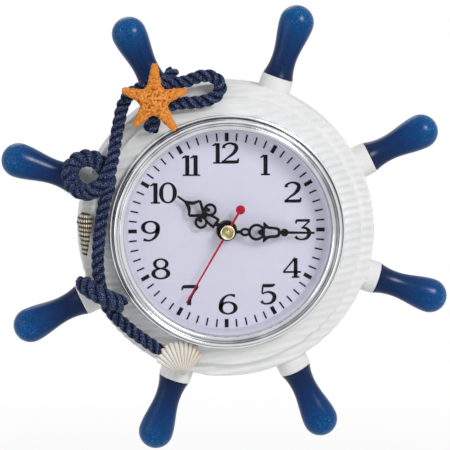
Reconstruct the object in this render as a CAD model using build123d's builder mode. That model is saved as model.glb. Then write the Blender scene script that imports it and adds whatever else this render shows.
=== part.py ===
from build123d import *
import os
from math import cos, pi, radians, sin, tan

os.makedirs("parts", exist_ok=True)

# Ship's-wheel wall clock, in millimetres. The wall is the plane Y = 0, the clock faces -Y, and +Z is up.
# The origin is the keyhole of the hanger. A height is a distance from the wall towards the viewer.

# Wheel: a white ring in two tiers with eight bosses, and a turned handle in each boss
TIER_WIDTH = 13.6
STEP_WIDTH = 6.8
TIER_DROP = 3.0
RING_EDGE_FILLET = 1.6
BACK_CHAMFER = 1.0
HANDLE_COUNT = 8
FIRST_HANDLE_ANGLE = 26.1
BOSS_RADIUS = 8.7
BOSS_PROUD = 7.0
TENON_RADIUS = 4.0
TENON_LENGTH = 12.0
TENON_CLEARANCE = 0.1
HANDLE_LENGTH = 40.0
HANDLE_BASE_RADIUS = 8.3
HANDLE_NECK_RADIUS = 6.7
HANDLE_BULB_RADIUS = 9.3
NECK_AT_SHARE = 0.26

# Dial pan with its gasket, dial, sloping dial ring, glass and bezel
PAN_WALL_RADIUS = 57.8
PAN_SHEET = 1.2
PAN_FLOOR_DROP = 6.0
PAN_SKIRT = 8.0
PAN_RIM_RISE = 4.0
PAN_FLANGE_WIDTH = 3.5
PAN_FLANGE_SHEET = 1.0
GASKET_ROOM = 1.6
GASKET_HEIGHT = 8.0
GASKET_BASE = 0.8
GASKET_RIB_COUNT = 3
DIAL_THICKNESS = 0.6
DIAL_RING_WIDTH = 2.9
DIAL_RING_LIP = 0.7
DIAL_RING_SHOULDER = 1.2
GLASS_THICKNESS = 1.8
GLASS_RISE = 1.0
BEZEL_SKIRT = 2.1
BEZEL_HEIGHT = 7.6
BEZEL_LIP_WIDTH = 1.8
BEZEL_LIP = 0.9
BEZEL_BEAD_HEIGHT = 2.4
BEZEL_BEAD_WIDTH = 1.5
BEZEL_RIDGE_INSET = 2.9
FIT_CLEARANCE = 0.1

# Quartz movement: a square case in two halves, with a bush that passes through pan and dial
CASE_WALL = 1.2
CASE_CORNER_RADIUS = 3.0
CASE_BACK_DEPTH = 5.6
BUSH_RADIUS = 3.9
BUSH_PROUD = 0.75
NUT_RADIUS = 5.3
NUT_THICKNESS = 1.4
NUT_SIDES = 6
WASHER_RADIUS = 5.6
WASHER_THICKNESS = 0.25
RUNNING_CLEARANCE = 0.06
PIVOT_RADIUS = 0.4
PIVOT_DEPTH = 0.7
PIVOT_BOSS_RADIUS = 1.8
PIVOT_BOSS_LENGTH = 2.2
ARBOR_RADIUS = 0.6

# Coaxial tubes of the three hands, from the middle out
SECONDS_ARBOR_RADIUS = 0.55
CANNON_RADIUS = 1.25
HOUR_TUBE_RADIUS = 2.1

# Wheels lie in layers one behind another, counted from the front plate
LAYER_START = 0.4
LAYER_PITCH = 1.3
WHEEL_THICKNESS = 0.9
HOUR_LAYER = 0
MOTION_LAYER = 1
CENTRE_LAYER = 2
THIRD_LAYER = 3
SECONDS_LAYER = 4
MOTOR_LAYER = 5

# Tooth counts, axis spacings and axis directions of the train
SECONDS_PINION_TEETH = 8
THIRD_WHEEL_TEETH = 60
THIRD_PINION_TEETH = 8
CENTRE_WHEEL_TEETH = 64
TRAIN_SPACING = 10.8
MOTION_EXTRA_SPACING = 0.4
SECONDS_EXTRA_SPACING = 0.2
ROTOR_LESS_SPACING = 0.6
TRAIN_ANGLE = 180.0
CANNON_TEETH = 12
MOTION_WHEEL_TEETH = 36
MOTION_PINION_TEETH = 10
HOUR_WHEEL_TEETH = 40
MOTION_ANGLE = 45.0
SECONDS_WHEEL_TEETH = 32
INTERMEDIATE_PINION_TEETH = 8
INTERMEDIATE_ANGLE = 105.0
INTERMEDIATE_WHEEL_TEETH = 60
ROTOR_PINION_TEETH = 8
ROTOR_ANGLE = 160.0
ADDENDUM_SHARE = 0.8
DEDENDUM_SHARE = 1.15
WHEEL_ROOT_SHARE = 0.62
WHEEL_TIP_SHARE = 0.16
PINION_ROOT_SHARE = 0.55
PINION_TIP_SHARE = 0.12
HALF_TOOTH_SHARE = 0.5

# Stepping motor, circuit board, battery and setting knob
MAGNET_RADIUS = 2.9
MAGNET_LENGTH = 2.2
MAGNET_GAP = 0.4
STATOR_THICKNESS = 1.0
STATOR_BAR = 4.0
STATOR_LEFT = 22.0
STATOR_RIGHT = 18.0
STATOR_EYE_RADIUS = 5.6
STATOR_BORE_RADIUS = 3.5
STATOR_POST_RADIUS = 1.5
COIL_LENGTH = 26.0
COIL_SIZE = 6.0
COIL_CORNER = 1.6
COIL_FLANGE = 1.0
COIL_WAIST = 0.5
CORE_FROM_WALL = 1.8
BOARD_HEIGHT = 24.0
BOARD_THICKNESS = 1.0
BOARD_WALL_GAP = 1.3
BOARD_BOSS_GAP = 1.8
BOARD_BAY_GAP = 2.6
CHIP_RADIUS = 2.6
CHIP_RISE = 0.8
SEAT_GAP = 0.15
BATTERY_RADIUS = 7.1
BATTERY_LENGTH = 50.5
BATTERY_NUB_RADIUS = 2.75
BATTERY_NUB = 1.2
BATTERY_EDGE = 0.5
BATTERY_GAP = 0.3
BAY_CLEARANCE = 0.4
BAY_WALL_GAP = 0.2
CONTACT_ROOM = 1.55
CONTACT_SHEET = 0.4
CONTACT_WIDTH = 8.0
CONTACT_HEIGHT = 9.0
KNOB_RADIUS = 4.6
KNOB_THICKNESS = 2.0
KNOB_GAP = 0.25
KNOB_WALL_GAP = 1.15
KNOB_GRIP_COUNT = 16
KNOB_GRIP_RADIUS = 0.45
SETTING_ARBOR_RADIUS = 0.8

# Hands: a clockwise angle from twelve and a length for each, one above another over the bush
HAND_THICKNESS = 0.4
HOUR_HAND_GAP = 0.6
HAND_PITCH = 1.6
HOUR_HAND_ANGLE = 306.0
HOUR_HAND_LENGTH = 33.0
HOUR_HUB_RADIUS = 5.2
MINUTE_HAND_ANGLE = 91.3
MINUTE_HAND_LENGTH = 47.0
MINUTE_HUB_RADIUS = 4.4
SECONDS_HAND_ANGLE = 210.0
SECONDS_HAND_LENGTH = 44.0
SECONDS_HAND_WIDTH = 1.25
SECONDS_TIP_WIDTH = 0.8
SECONDS_TAIL = 13.9
SECONDS_TAIL_RADIUS = 2.5
SECONDS_HUB_RADIUS = 2.0
CAP_RADIUS = 3.9
CAP_HEIGHT = 2.0
CAP_ROUND = 0.7
HAND_STROKE = 1.1
NEEDLE_WIDTH = 1.05

# Keyhole hanger on the back of the ring
HANGER_WIDTH = 30.0
HANGER_TALL = 15.0
HANGER_SHEET = 1.2
HANGER_CORNER = 2.0
KEYHOLE_RADIUS = 4.0
KEYHOLE_SLOT_WIDTH = 3.8
KEYHOLE_SLOT_RISE = 4.8
HANGER_POCKET_DEPTH = 8.0
HANGER_POCKET_MARGIN = 0.5
HANGER_EDGE_GAP = 2.1
HANGER_SCREW_SPACING = 22.0
SCREW_RADIUS = 1.3
SCREW_LENGTH = 9.0

# Rope: one laid length from the scallop to its tail end, and a turn over each of two bosses
ROPE_RADIUS = 3.5
SHELL_SEAT = 0.3
ARC_SHARE = 0.45
LEAST_ROPE_GAP = 0.4
GAP_SAMPLE_STEP = 1.0

# Starfish, scallop and turret shell
STAR_PLACE_ANGLE = 118.65
STAR_OUTSET = 2.7
STAR_LIFT = 10.4
STAR_ARM = 18.2
STAR_ANGLE = 89.0
STAR_ARM_SHARES = (1.0, 0.99, 0.92, 1.06, 0.95)
STAR_ARM_WIDTH = 6.9
STAR_TIP_WIDTH = 1.5
STAR_RISE = 4.4
STAR_TIP_RISE = 2.2
SCALLOP_PLACE_ANGLE = 252.2
SHELL_GAP = 0.6
SCALLOP_RADIUS = 19.0
SCALLOP_ANGLE = 93.0
SCALLOP_SPREAD = 88.0
SCALLOP_RIB_COUNT = 11
SCALLOP_RIB_RISE = 0.55
SCALLOP_RISE = 6.4
SCALLOP_HINGE = 3.6
SCALLOP_EAR_WIDTH = 9.0
SCALLOP_EAR_TALL = 4.2
SCALLOP_EAR_SHEET = 1.4
SCALLOP_STEP_SHARES = ((1.0, 0.0), (0.93, 0.34), (0.74, 0.72), (0.46, 0.96), (0.2, 1.0))
TURRET_OUTSET = 3.4
TURRET_TOP_Y = 12.0
TURRET_LENGTH = 23.6
TURRET_RADIUS = 4.2
TURRET_TIP_RADIUS = 0.5
TURRET_WHORL_COUNT = 6
TURRET_WHORL_SHRINK_SHARE = 0.78
TURRET_CROWN_SHARE = 0.2
TURRET_BULGE_SHARE = 0.12

# The battery sets the case's width, train and battery its height, and the stack of wheels its depth
CASE_INNER_WIDTH = BATTERY_LENGTH + 2 * CONTACT_ROOM
CASE_WIDTH = CASE_INNER_WIDTH + 2 * CASE_WALL
BAY_TALL = 2 * (BATTERY_RADIUS + BAY_CLEARANCE)
CASE_INNER_TALL = 2 * (TRAIN_SPACING - BAY_WALL_GAP + CASE_WALL + BAY_TALL)
CASE_TALL = CASE_INNER_TALL + 2 * CASE_WALL
WHEEL_STACK = LAYER_START + (MOTOR_LAYER + 1) * LAYER_PITCH + MAGNET_LENGTH + MAGNET_GAP
CASE_DEPTH = 2 * CASE_WALL + WHEEL_STACK + PIVOT_BOSS_LENGTH
CASE_BACK_HEIGHT = KNOB_WALL_GAP + KNOB_THICKNESS + KNOB_GAP
CASE_FRONT_HEIGHT = CASE_BACK_HEIGHT + CASE_DEPTH
CASE_SPLIT_HEIGHT = CASE_BACK_HEIGHT + CASE_BACK_DEPTH
PAN_FLOOR_HEIGHT = CASE_FRONT_HEIGHT + PAN_SHEET
PAN_SKIRT_HEIGHT = PAN_FLOOR_HEIGHT - PAN_SKIRT
RING_DEPTH = PAN_FLOOR_HEIGHT + PAN_FLOOR_DROP
PAN_RIM_HEIGHT = RING_DEPTH + PAN_RIM_RISE
HANDLE_HEIGHT = RING_DEPTH / 2
DIAL_FACE_HEIGHT = PAN_FLOOR_HEIGHT + DIAL_THICKNESS
BUSH_TOP_HEIGHT = DIAL_FACE_HEIGHT + WASHER_THICKNESS + NUT_THICKNESS + BUSH_PROUD
HOUR_HAND_HEIGHT = BUSH_TOP_HEIGHT + HOUR_HAND_GAP
MINUTE_HAND_HEIGHT = HOUR_HAND_HEIGHT + HAND_PITCH
SECONDS_HAND_HEIGHT = MINUTE_HAND_HEIGHT + HAND_PITCH

# The pan's wall sets every radius outside it
PAN_INNER_RADIUS = PAN_WALL_RADIUS - PAN_SHEET
PAN_FLANGE_RADIUS = PAN_WALL_RADIUS + PAN_FLANGE_WIDTH
BEZEL_RADIUS = PAN_FLANGE_RADIUS + BEZEL_SKIRT
BEZEL_INNER_RADIUS = PAN_WALL_RADIUS - BEZEL_LIP_WIDTH
RING_HOLE_RADIUS = PAN_WALL_RADIUS + GASKET_ROOM
TIER_RADIUS = RING_HOLE_RADIUS + TIER_WIDTH
RING_RADIUS = TIER_RADIUS + STEP_WIDTH
BOSS_REACH = RING_RADIUS + BOSS_PROUD
HANDLE_TIP_RADIUS = BOSS_REACH + HANDLE_LENGTH
HANGER_RISE = RING_HOLE_RADIUS + HANGER_EDGE_GAP + HANGER_TALL / 2

# The train's spacing sets the others, so that each arbor clears the wheels beside it
MOTION_SPACING = TRAIN_SPACING + MOTION_EXTRA_SPACING
SECONDS_SPACING = TRAIN_SPACING + SECONDS_EXTRA_SPACING
ROTOR_SPACING = TRAIN_SPACING - ROTOR_LESS_SPACING

# Planes: the wall plane faces the viewer, and the section plane runs outward and forward from the axis
CENTRE = Vector(0, 0, -HANGER_RISE)
WALL = Plane(origin=CENTRE, x_dir=(1, 0, 0), z_dir=(0, -1, 0))
SECTION = Plane(origin=CENTRE, x_dir=(1, 0, 0), z_dir=(0, 0, -1))
WHEEL_AXIS = Axis(CENTRE, (0, -1, 0))
HANGER_BACK = Plane(origin=(0, 0, 0), x_dir=(1, 0, 0), z_dir=(0, -1, 0))


def level(height):
    """Plane parallel to the wall at a height above it, facing the viewer."""
    return WALL.offset(height)


def turned(at, height, angle):
    """Plane parallel to the wall at a place on the dial, turned anticlockwise as the viewer sees it."""
    x_dir = (cos(radians(angle)), 0, sin(radians(angle)))
    return Plane(origin=level(height).from_local_coords((*at, 0)), x_dir=x_dir, z_dir=(0, -1, 0))


def spoke(number, height):
    """Plane parallel to the wall whose x runs outward along one handle."""
    return turned((0, 0), height, FIRST_HANDLE_ANGLE + number * 360 / HANDLE_COUNT)


def hand_plane(angle, height):
    """Plane of a hand, whose y runs from the centre to the hand's tip."""
    return turned((0, 0), height, -angle)


def save(builder, name):
    builder.part.label = name
    export_step(builder.part, f"parts/{name}.step")


def polar(distance, angle):
    return (distance * cos(radians(angle)), distance * sin(radians(angle)))


def disc(height, thickness, radius, hole=0.0, at=(0, 0), mode=Mode.ADD):
    """Round plate or tube from a height forward, with an optional hole."""
    with BuildSketch(level(height)) as face:
        with Locations(at):
            Circle(radius)
            if hole > 0:
                Circle(hole, mode=Mode.SUBTRACT)
    extrude(face.sketch, amount=thickness, mode=mode)


# Wheel ring
TIER_HEIGHT = RING_DEPTH - TIER_DROP

with BuildPart() as wheel_ring:
    with BuildSketch(SECTION):
        with BuildLine():
            Polyline(
                (RING_HOLE_RADIUS, 0),
                (RING_RADIUS, 0),
                (RING_RADIUS, TIER_HEIGHT),
                (TIER_RADIUS, TIER_HEIGHT),
                (TIER_RADIUS, RING_DEPTH),
                (RING_HOLE_RADIUS, RING_DEPTH),
                close=True,
            )
        make_face()
    revolve(axis=WHEEL_AXIS)
    rims = wheel_ring.edges().filter_by(GeomType.CIRCLE).sort_by(SortBy.RADIUS)
    tier_front = rims[2:4].sort_by(Axis.Y)[0]
    outer_front = rims[4:].sort_by(Axis.Y)[0]
    fillet([tier_front, outer_front], RING_EDGE_FILLET)
    back_rims = wheel_ring.edges().filter_by(GeomType.CIRCLE).group_by(Axis.Y)[-1]
    chamfer(back_rims.sort_by(SortBy.RADIUS)[-1], BACK_CHAMFER)
    for number in range(HANDLE_COUNT):
        outward = spoke(number, HANDLE_HEIGHT)
        boss_face = Plane(outward.from_local_coords((BOSS_REACH, 0, 0)), z_dir=-outward.x_dir)
        with BuildSketch(boss_face):
            Circle(BOSS_RADIUS)
        extrude(amount=BOSS_REACH - TIER_RADIUS)
        with BuildSketch(boss_face):
            Circle(TENON_RADIUS + TENON_CLEARANCE)
        extrude(amount=TENON_LENGTH + TENON_CLEARANCE, mode=Mode.SUBTRACT)
    # Recess for the hanger plate, a pocket for the wall screw's head and two pilot holes
    with BuildSketch(HANGER_BACK):
        RectangleRounded(
            HANGER_WIDTH + FIT_CLEARANCE, HANGER_TALL + FIT_CLEARANCE, HANGER_CORNER
        )
    extrude(amount=HANGER_SHEET, mode=Mode.SUBTRACT)
    with BuildSketch(HANGER_BACK):
        Circle(KEYHOLE_RADIUS + HANGER_POCKET_MARGIN)
        with Locations((0, KEYHOLE_SLOT_RISE)):
            Circle(KEYHOLE_RADIUS + HANGER_POCKET_MARGIN)
        with Locations((0, KEYHOLE_SLOT_RISE / 2)):
            Rectangle(2 * (KEYHOLE_RADIUS + HANGER_POCKET_MARGIN), KEYHOLE_SLOT_RISE)
    extrude(amount=HANGER_POCKET_DEPTH, mode=Mode.SUBTRACT)
    with BuildSketch(HANGER_BACK):
        with GridLocations(HANGER_SCREW_SPACING, 0, 2, 1):
            Circle(SCREW_RADIUS + FIT_CLEARANCE)
    extrude(amount=SCREW_LENGTH + FIT_CLEARANCE, mode=Mode.SUBTRACT)
save(wheel_ring, "wheel_ring")

# Handles: a tenon, a base that narrows to the neck, a bulb and a rounded end
for number in range(HANDLE_COUNT):
    outward = spoke(number, HANDLE_HEIGHT)
    neck = (BOSS_REACH + NECK_AT_SHARE * HANDLE_LENGTH, HANDLE_NECK_RADIUS)
    bulb = (HANDLE_TIP_RADIUS - HANDLE_BULB_RADIUS, HANDLE_BULB_RADIUS)
    waist = ((neck[0] + bulb[0]) / 2, (neck[1] + bulb[1]) / 2)
    with BuildPart() as handle:
        with BuildSketch(outward):
            with BuildLine():
                Polyline(
                    (HANDLE_TIP_RADIUS, 0),
                    (BOSS_REACH - TENON_LENGTH, 0),
                    (BOSS_REACH - TENON_LENGTH, TENON_RADIUS),
                    (BOSS_REACH, TENON_RADIUS),
                    (BOSS_REACH, HANDLE_BASE_RADIUS),
                )
                TangentArc(neck, (BOSS_REACH, HANDLE_BASE_RADIUS), tangent=(-1, 0))
                TangentArc(neck, waist, tangent=(1, 0))
                TangentArc(bulb, waist, tangent=(-1, 0))
                CenterArc((bulb[0], 0), HANDLE_BULB_RADIUS, start_angle=0, arc_size=90)
            make_face()
        revolve(axis=Axis(outward.origin, outward.x_dir))
    save(handle, f"handle_{number + 1}")

# Dial pan: a floor, a wall that stands in the ring's hole and a flange that lies on the ring's face
with BuildPart() as dial_pan:
    disc(CASE_FRONT_HEIGHT, PAN_SHEET, PAN_WALL_RADIUS, BUSH_RADIUS + FIT_CLEARANCE)
    disc(PAN_SKIRT_HEIGHT, PAN_RIM_HEIGHT - PAN_SKIRT_HEIGHT, PAN_WALL_RADIUS, PAN_INNER_RADIUS)
    disc(RING_DEPTH, PAN_FLANGE_SHEET, PAN_FLANGE_RADIUS, PAN_INNER_RADIUS)
save(dial_pan, "dial_pan")

# Gasket: a rubber band on the pan's wall with ribs that press on the ring's hole
GASKET_OUTER_RADIUS = RING_HOLE_RADIUS - FIT_CLEARANCE
GASKET_INNER_RADIUS = PAN_WALL_RADIUS + FIT_CLEARANCE
GASKET_LOW = RING_DEPTH - FIT_CLEARANCE - GASKET_HEIGHT

with BuildPart() as fit_gasket:
    disc(GASKET_LOW, GASKET_HEIGHT, GASKET_INNER_RADIUS + GASKET_BASE, GASKET_INNER_RADIUS)
    rib_height = GASKET_HEIGHT / (2 * GASKET_RIB_COUNT - 1)
    for rib in range(GASKET_RIB_COUNT):
        disc(GASKET_LOW + 2 * rib * rib_height, rib_height, GASKET_OUTER_RADIUS, GASKET_INNER_RADIUS)
save(fit_gasket, "fit_gasket")

# Dial plate
DIAL_RADIUS = PAN_INNER_RADIUS - FIT_CLEARANCE

with BuildPart() as dial:
    disc(PAN_FLOOR_HEIGHT, DIAL_THICKNESS, DIAL_RADIUS, BUSH_RADIUS + FIT_CLEARANCE)
save(dial, "dial")

# Dial ring: slopes from the dial up to the glass
DIAL_RING_INNER_RADIUS = DIAL_RADIUS - DIAL_RING_WIDTH

with BuildPart() as dial_ring:
    with BuildSketch(SECTION):
        with BuildLine():
            Polyline(
                (DIAL_RING_INNER_RADIUS, DIAL_FACE_HEIGHT),
                (DIAL_RADIUS, DIAL_FACE_HEIGHT),
                (DIAL_RADIUS, PAN_RIM_HEIGHT),
                (DIAL_RADIUS - DIAL_RING_SHOULDER, PAN_RIM_HEIGHT),
                (DIAL_RING_INNER_RADIUS, DIAL_FACE_HEIGHT + DIAL_RING_LIP),
                close=True,
            )
        make_face()
    revolve(axis=WHEEL_AXIS)
save(dial_ring, "dial_ring")

# Glass: slightly domed, lies on the pan's rim under the bezel's lip
GLASS_TOP_HEIGHT = PAN_RIM_HEIGHT + GLASS_THICKNESS
GLASS_RADIUS = PAN_WALL_RADIUS - FIT_CLEARANCE

with BuildPart() as lens:
    with BuildSketch(SECTION):
        with BuildLine():
            crown = GLASS_TOP_HEIGHT + GLASS_RISE
            hollow = PAN_RIM_HEIGHT + GLASS_RISE
            Line((0, hollow), (0, crown))
            TangentArc((0, crown), (BEZEL_INNER_RADIUS, GLASS_TOP_HEIGHT), tangent=(1, 0))
            Polyline(
                (BEZEL_INNER_RADIUS, GLASS_TOP_HEIGHT),
                (GLASS_RADIUS, GLASS_TOP_HEIGHT),
                (GLASS_RADIUS, PAN_RIM_HEIGHT),
                (BEZEL_INNER_RADIUS, PAN_RIM_HEIGHT),
            )
            TangentArc((0, hollow), (BEZEL_INNER_RADIUS, PAN_RIM_HEIGHT), tangent=(1, 0))
        make_face()
    revolve(axis=WHEEL_AXIS)
save(lens, "lens")

# Bezel: a low outer bead, a groove, a rounded ridge and a lip over the edge of the glass
BEZEL_TOP_HEIGHT = RING_DEPTH + BEZEL_HEIGHT
RIDGE_RADIUS = BEZEL_RADIUS - BEZEL_RIDGE_INSET
RIDGE_ROUND = BEZEL_RIDGE_INSET - BEZEL_BEAD_WIDTH
BEAD_TOP = RING_DEPTH + BEZEL_BEAD_HEIGHT
LIP_UNDER = GLASS_TOP_HEIGHT + FIT_CLEARANCE

with BuildPart() as bezel:
    with BuildSketch(SECTION):
        with BuildLine():
            Polyline(
                (BEZEL_INNER_RADIUS, LIP_UNDER + BEZEL_LIP),
                (BEZEL_INNER_RADIUS, LIP_UNDER),
                (PAN_WALL_RADIUS + FIT_CLEARANCE, LIP_UNDER),
                (PAN_WALL_RADIUS + FIT_CLEARANCE, RING_DEPTH + PAN_FLANGE_SHEET + FIT_CLEARANCE),
                (PAN_FLANGE_RADIUS + FIT_CLEARANCE, RING_DEPTH + PAN_FLANGE_SHEET + FIT_CLEARANCE),
                (PAN_FLANGE_RADIUS + FIT_CLEARANCE, RING_DEPTH),
                (BEZEL_RADIUS, RING_DEPTH),
                (BEZEL_RADIUS, BEAD_TOP - BEZEL_BEAD_WIDTH / 2),
            )
            ThreePointArc(
                (BEZEL_RADIUS, BEAD_TOP - BEZEL_BEAD_WIDTH / 2),
                (BEZEL_RADIUS - BEZEL_BEAD_WIDTH / 2, BEAD_TOP),
                (BEZEL_RADIUS - BEZEL_BEAD_WIDTH, BEAD_TOP - BEZEL_BEAD_WIDTH / 2),
            )
            Line(
                (BEZEL_RADIUS - BEZEL_BEAD_WIDTH, BEAD_TOP - BEZEL_BEAD_WIDTH / 2),
                (BEZEL_RADIUS - BEZEL_BEAD_WIDTH, BEZEL_TOP_HEIGHT - RIDGE_ROUND),
            )
            CenterArc((RIDGE_RADIUS, BEZEL_TOP_HEIGHT - RIDGE_ROUND), RIDGE_ROUND, start_angle=0, arc_size=90)
            Line((RIDGE_RADIUS, BEZEL_TOP_HEIGHT), (BEZEL_INNER_RADIUS, LIP_UNDER + BEZEL_LIP))
        make_face()
    revolve(axis=WHEEL_AXIS)
save(bezel, "bezel")

# Movement case. The front half has the bush and the battery bay's walls, the back half the pivot bosses.
PLATE_HEIGHT = CASE_FRONT_HEIGHT - CASE_WALL
FLOOR_HEIGHT = CASE_BACK_HEIGHT + CASE_WALL
BATTERY_Y = -CASE_INNER_TALL / 2 + BAY_TALL / 2
BATTERY_HEIGHT = PLATE_HEIGHT - BATTERY_GAP - BATTERY_RADIUS
BAY_TOP = BATTERY_Y + BAY_TALL / 2
PIVOT_BOSS_TOP = FLOOR_HEIGHT + PIVOT_BOSS_LENGTH

CENTRE_AT = (0, 0)
THIRD_AT = polar(TRAIN_SPACING, TRAIN_ANGLE)
MOTION_AT = polar(MOTION_SPACING, MOTION_ANGLE)
INTERMEDIATE_AT = polar(SECONDS_SPACING, INTERMEDIATE_ANGLE)
ROTOR_STEP = polar(ROTOR_SPACING, ROTOR_ANGLE)
ROTOR_AT = (INTERMEDIATE_AT[0] + ROTOR_STEP[0], INTERMEDIATE_AT[1] + ROTOR_STEP[1])
CORE_Y = CASE_INNER_TALL / 2 - CORE_FROM_WALL - STATOR_BAR / 2
MAGNET_BASE = PIVOT_BOSS_TOP + MAGNET_GAP
STATOR_HEIGHT = MAGNET_BASE + MAGNET_LENGTH / 2 - STATOR_THICKNESS / 2
STATOR_POSTS = ((-STATOR_LEFT + STATOR_BAR / 2, CORE_Y), (STATOR_RIGHT - STATOR_BAR / 2, CORE_Y))


def layer_base(layer):
    """Height of the back face of the wheels in one layer."""
    return PLATE_HEIGHT - LAYER_START - layer * LAYER_PITCH - WHEEL_THICKNESS


with BuildPart() as movement_front:
    with BuildSketch(level(CASE_SPLIT_HEIGHT)):
        RectangleRounded(CASE_WIDTH, CASE_TALL, CASE_CORNER_RADIUS)
    extrude(amount=CASE_FRONT_HEIGHT - CASE_SPLIT_HEIGHT)
    with BuildSketch(level(CASE_SPLIT_HEIGHT)):
        RectangleRounded(CASE_INNER_WIDTH, CASE_INNER_TALL, CASE_CORNER_RADIUS - CASE_WALL)
    extrude(amount=PLATE_HEIGHT - CASE_SPLIT_HEIGHT, mode=Mode.SUBTRACT)
    with BuildSketch(level(FLOOR_HEIGHT + SEAT_GAP)):
        with Locations((0, BAY_TOP + CASE_WALL / 2)):
            Rectangle(CASE_INNER_WIDTH - 2 * SEAT_GAP, CASE_WALL)
    extrude(amount=PLATE_HEIGHT - FLOOR_HEIGHT - SEAT_GAP)
    bush_length = BUSH_TOP_HEIGHT - PLATE_HEIGHT
    disc(PLATE_HEIGHT, bush_length, BUSH_RADIUS)
    disc(PLATE_HEIGHT, bush_length, HOUR_TUBE_RADIUS + RUNNING_CLEARANCE, mode=Mode.SUBTRACT)
    for at in (THIRD_AT, MOTION_AT, INTERMEDIATE_AT, ROTOR_AT):
        disc(PLATE_HEIGHT, PIVOT_DEPTH, PIVOT_RADIUS + RUNNING_CLEARANCE, at=at, mode=Mode.SUBTRACT)
save(movement_front, "movement_front")

with BuildPart() as movement_back:
    with BuildSketch(level(CASE_BACK_HEIGHT)):
        RectangleRounded(CASE_WIDTH, CASE_TALL, CASE_CORNER_RADIUS)
    extrude(amount=CASE_SPLIT_HEIGHT - CASE_BACK_HEIGHT)
    with BuildSketch(level(FLOOR_HEIGHT)):
        RectangleRounded(CASE_INNER_WIDTH, CASE_INNER_TALL, CASE_CORNER_RADIUS - CASE_WALL)
    extrude(amount=CASE_SPLIT_HEIGHT - FLOOR_HEIGHT, mode=Mode.SUBTRACT)
    with BuildSketch(level(CASE_BACK_HEIGHT)):
        with Locations((0, BATTERY_Y)):
            Rectangle(CASE_INNER_WIDTH, BAY_TALL)
    extrude(amount=CASE_WALL, mode=Mode.SUBTRACT)
    pivot_hole = PIVOT_RADIUS + RUNNING_CLEARANCE
    for at in (CENTRE_AT, THIRD_AT, INTERMEDIATE_AT, ROTOR_AT):
        disc(FLOOR_HEIGHT, PIVOT_BOSS_LENGTH, PIVOT_BOSS_RADIUS, at=at)
        disc(PIVOT_BOSS_TOP - PIVOT_DEPTH, PIVOT_DEPTH, pivot_hole, at=at, mode=Mode.SUBTRACT)
    disc(FLOOR_HEIGHT, PIVOT_BOSS_LENGTH, PIVOT_BOSS_RADIUS, at=MOTION_AT)
    disc(
        CASE_BACK_HEIGHT,
        PIVOT_BOSS_TOP - CASE_BACK_HEIGHT,
        SETTING_ARBOR_RADIUS + RUNNING_CLEARANCE,
        at=MOTION_AT,
        mode=Mode.SUBTRACT,
    )
    for at in STATOR_POSTS:
        disc(FLOOR_HEIGHT, STATOR_HEIGHT - FLOOR_HEIGHT, STATOR_POST_RADIUS, at=at)
save(movement_back, "movement_back")

# Washer and nut that clamp the movement to pan and dial
with BuildPart() as bush_washer:
    disc(DIAL_FACE_HEIGHT, WASHER_THICKNESS, WASHER_RADIUS, BUSH_RADIUS + FIT_CLEARANCE)
save(bush_washer, "bush_washer")

with BuildPart() as mounting_nut:
    with BuildSketch(level(DIAL_FACE_HEIGHT + WASHER_THICKNESS)):
        RegularPolygon(NUT_RADIUS, NUT_SIDES)
        Circle(BUSH_RADIUS + FIT_CLEARANCE, mode=Mode.SUBTRACT)
    extrude(amount=NUT_THICKNESS)
save(mounting_nut, "mounting_nut")


def gear(layer, teeth, module, root_share, tip_share, at, tooth_angle):
    """Toothed wheel in its layer, with one tooth pointing along tooth_angle."""
    root_radius = module * (teeth / 2 - DEDENDUM_SHARE)
    tip_radius = module * (teeth / 2 + ADDENDUM_SHARE)
    pitch_angle = 360 / teeth
    corners = []
    for tooth in range(teeth):
        middle = tooth_angle + tooth * pitch_angle
        corners.append(polar(root_radius, middle - root_share * pitch_angle / 2))
        corners.append(polar(tip_radius, middle - tip_share * pitch_angle / 2))
        corners.append(polar(tip_radius, middle + tip_share * pitch_angle / 2))
        corners.append(polar(root_radius, middle + root_share * pitch_angle / 2))
    with BuildSketch(level(layer_base(layer))) as toothed:
        with Locations(at):
            Polygon(*corners, align=None)
    extrude(toothed.sketch, amount=WHEEL_THICKNESS)


def wheel(layer, teeth, mate_teeth, spacing, at, mate_angle):
    """Large wheel with a tooth towards its mate."""
    gear(layer, teeth, 2 * spacing / (teeth + mate_teeth), WHEEL_ROOT_SHARE, WHEEL_TIP_SHARE, at, mate_angle)


def pinion(layer, teeth, mate_teeth, spacing, at, mate_angle):
    """Small wheel with a gap between two teeth towards its mate."""
    turned = mate_angle + HALF_TOOTH_SHARE * 360 / teeth
    gear(layer, teeth, 2 * spacing / (teeth + mate_teeth), PINION_ROOT_SHARE, PINION_TIP_SHARE, at, turned)


def arbor(at, low, high):
    """Round arbor with a thinner pivot at each end."""
    disc(low, high - low, ARBOR_RADIUS, at=at)
    disc(low - PIVOT_DEPTH + RUNNING_CLEARANCE, PIVOT_DEPTH, PIVOT_RADIUS, at=at)
    disc(high, PIVOT_DEPTH - RUNNING_CLEARANCE, PIVOT_RADIUS, at=at)


# Hour wheel and its tube
with BuildPart() as hour_wheel:
    wheel(HOUR_LAYER, HOUR_WHEEL_TEETH, MOTION_PINION_TEETH, MOTION_SPACING, CENTRE_AT, MOTION_ANGLE)
    hour_low = layer_base(HOUR_LAYER)
    disc(hour_low, HOUR_HAND_HEIGHT + HAND_THICKNESS - hour_low, HOUR_TUBE_RADIUS)
    disc(
        hour_low,
        HOUR_HAND_HEIGHT + HAND_THICKNESS - hour_low,
        CANNON_RADIUS + RUNNING_CLEARANCE,
        mode=Mode.SUBTRACT,
    )
save(hour_wheel, "hour_wheel")

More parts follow.
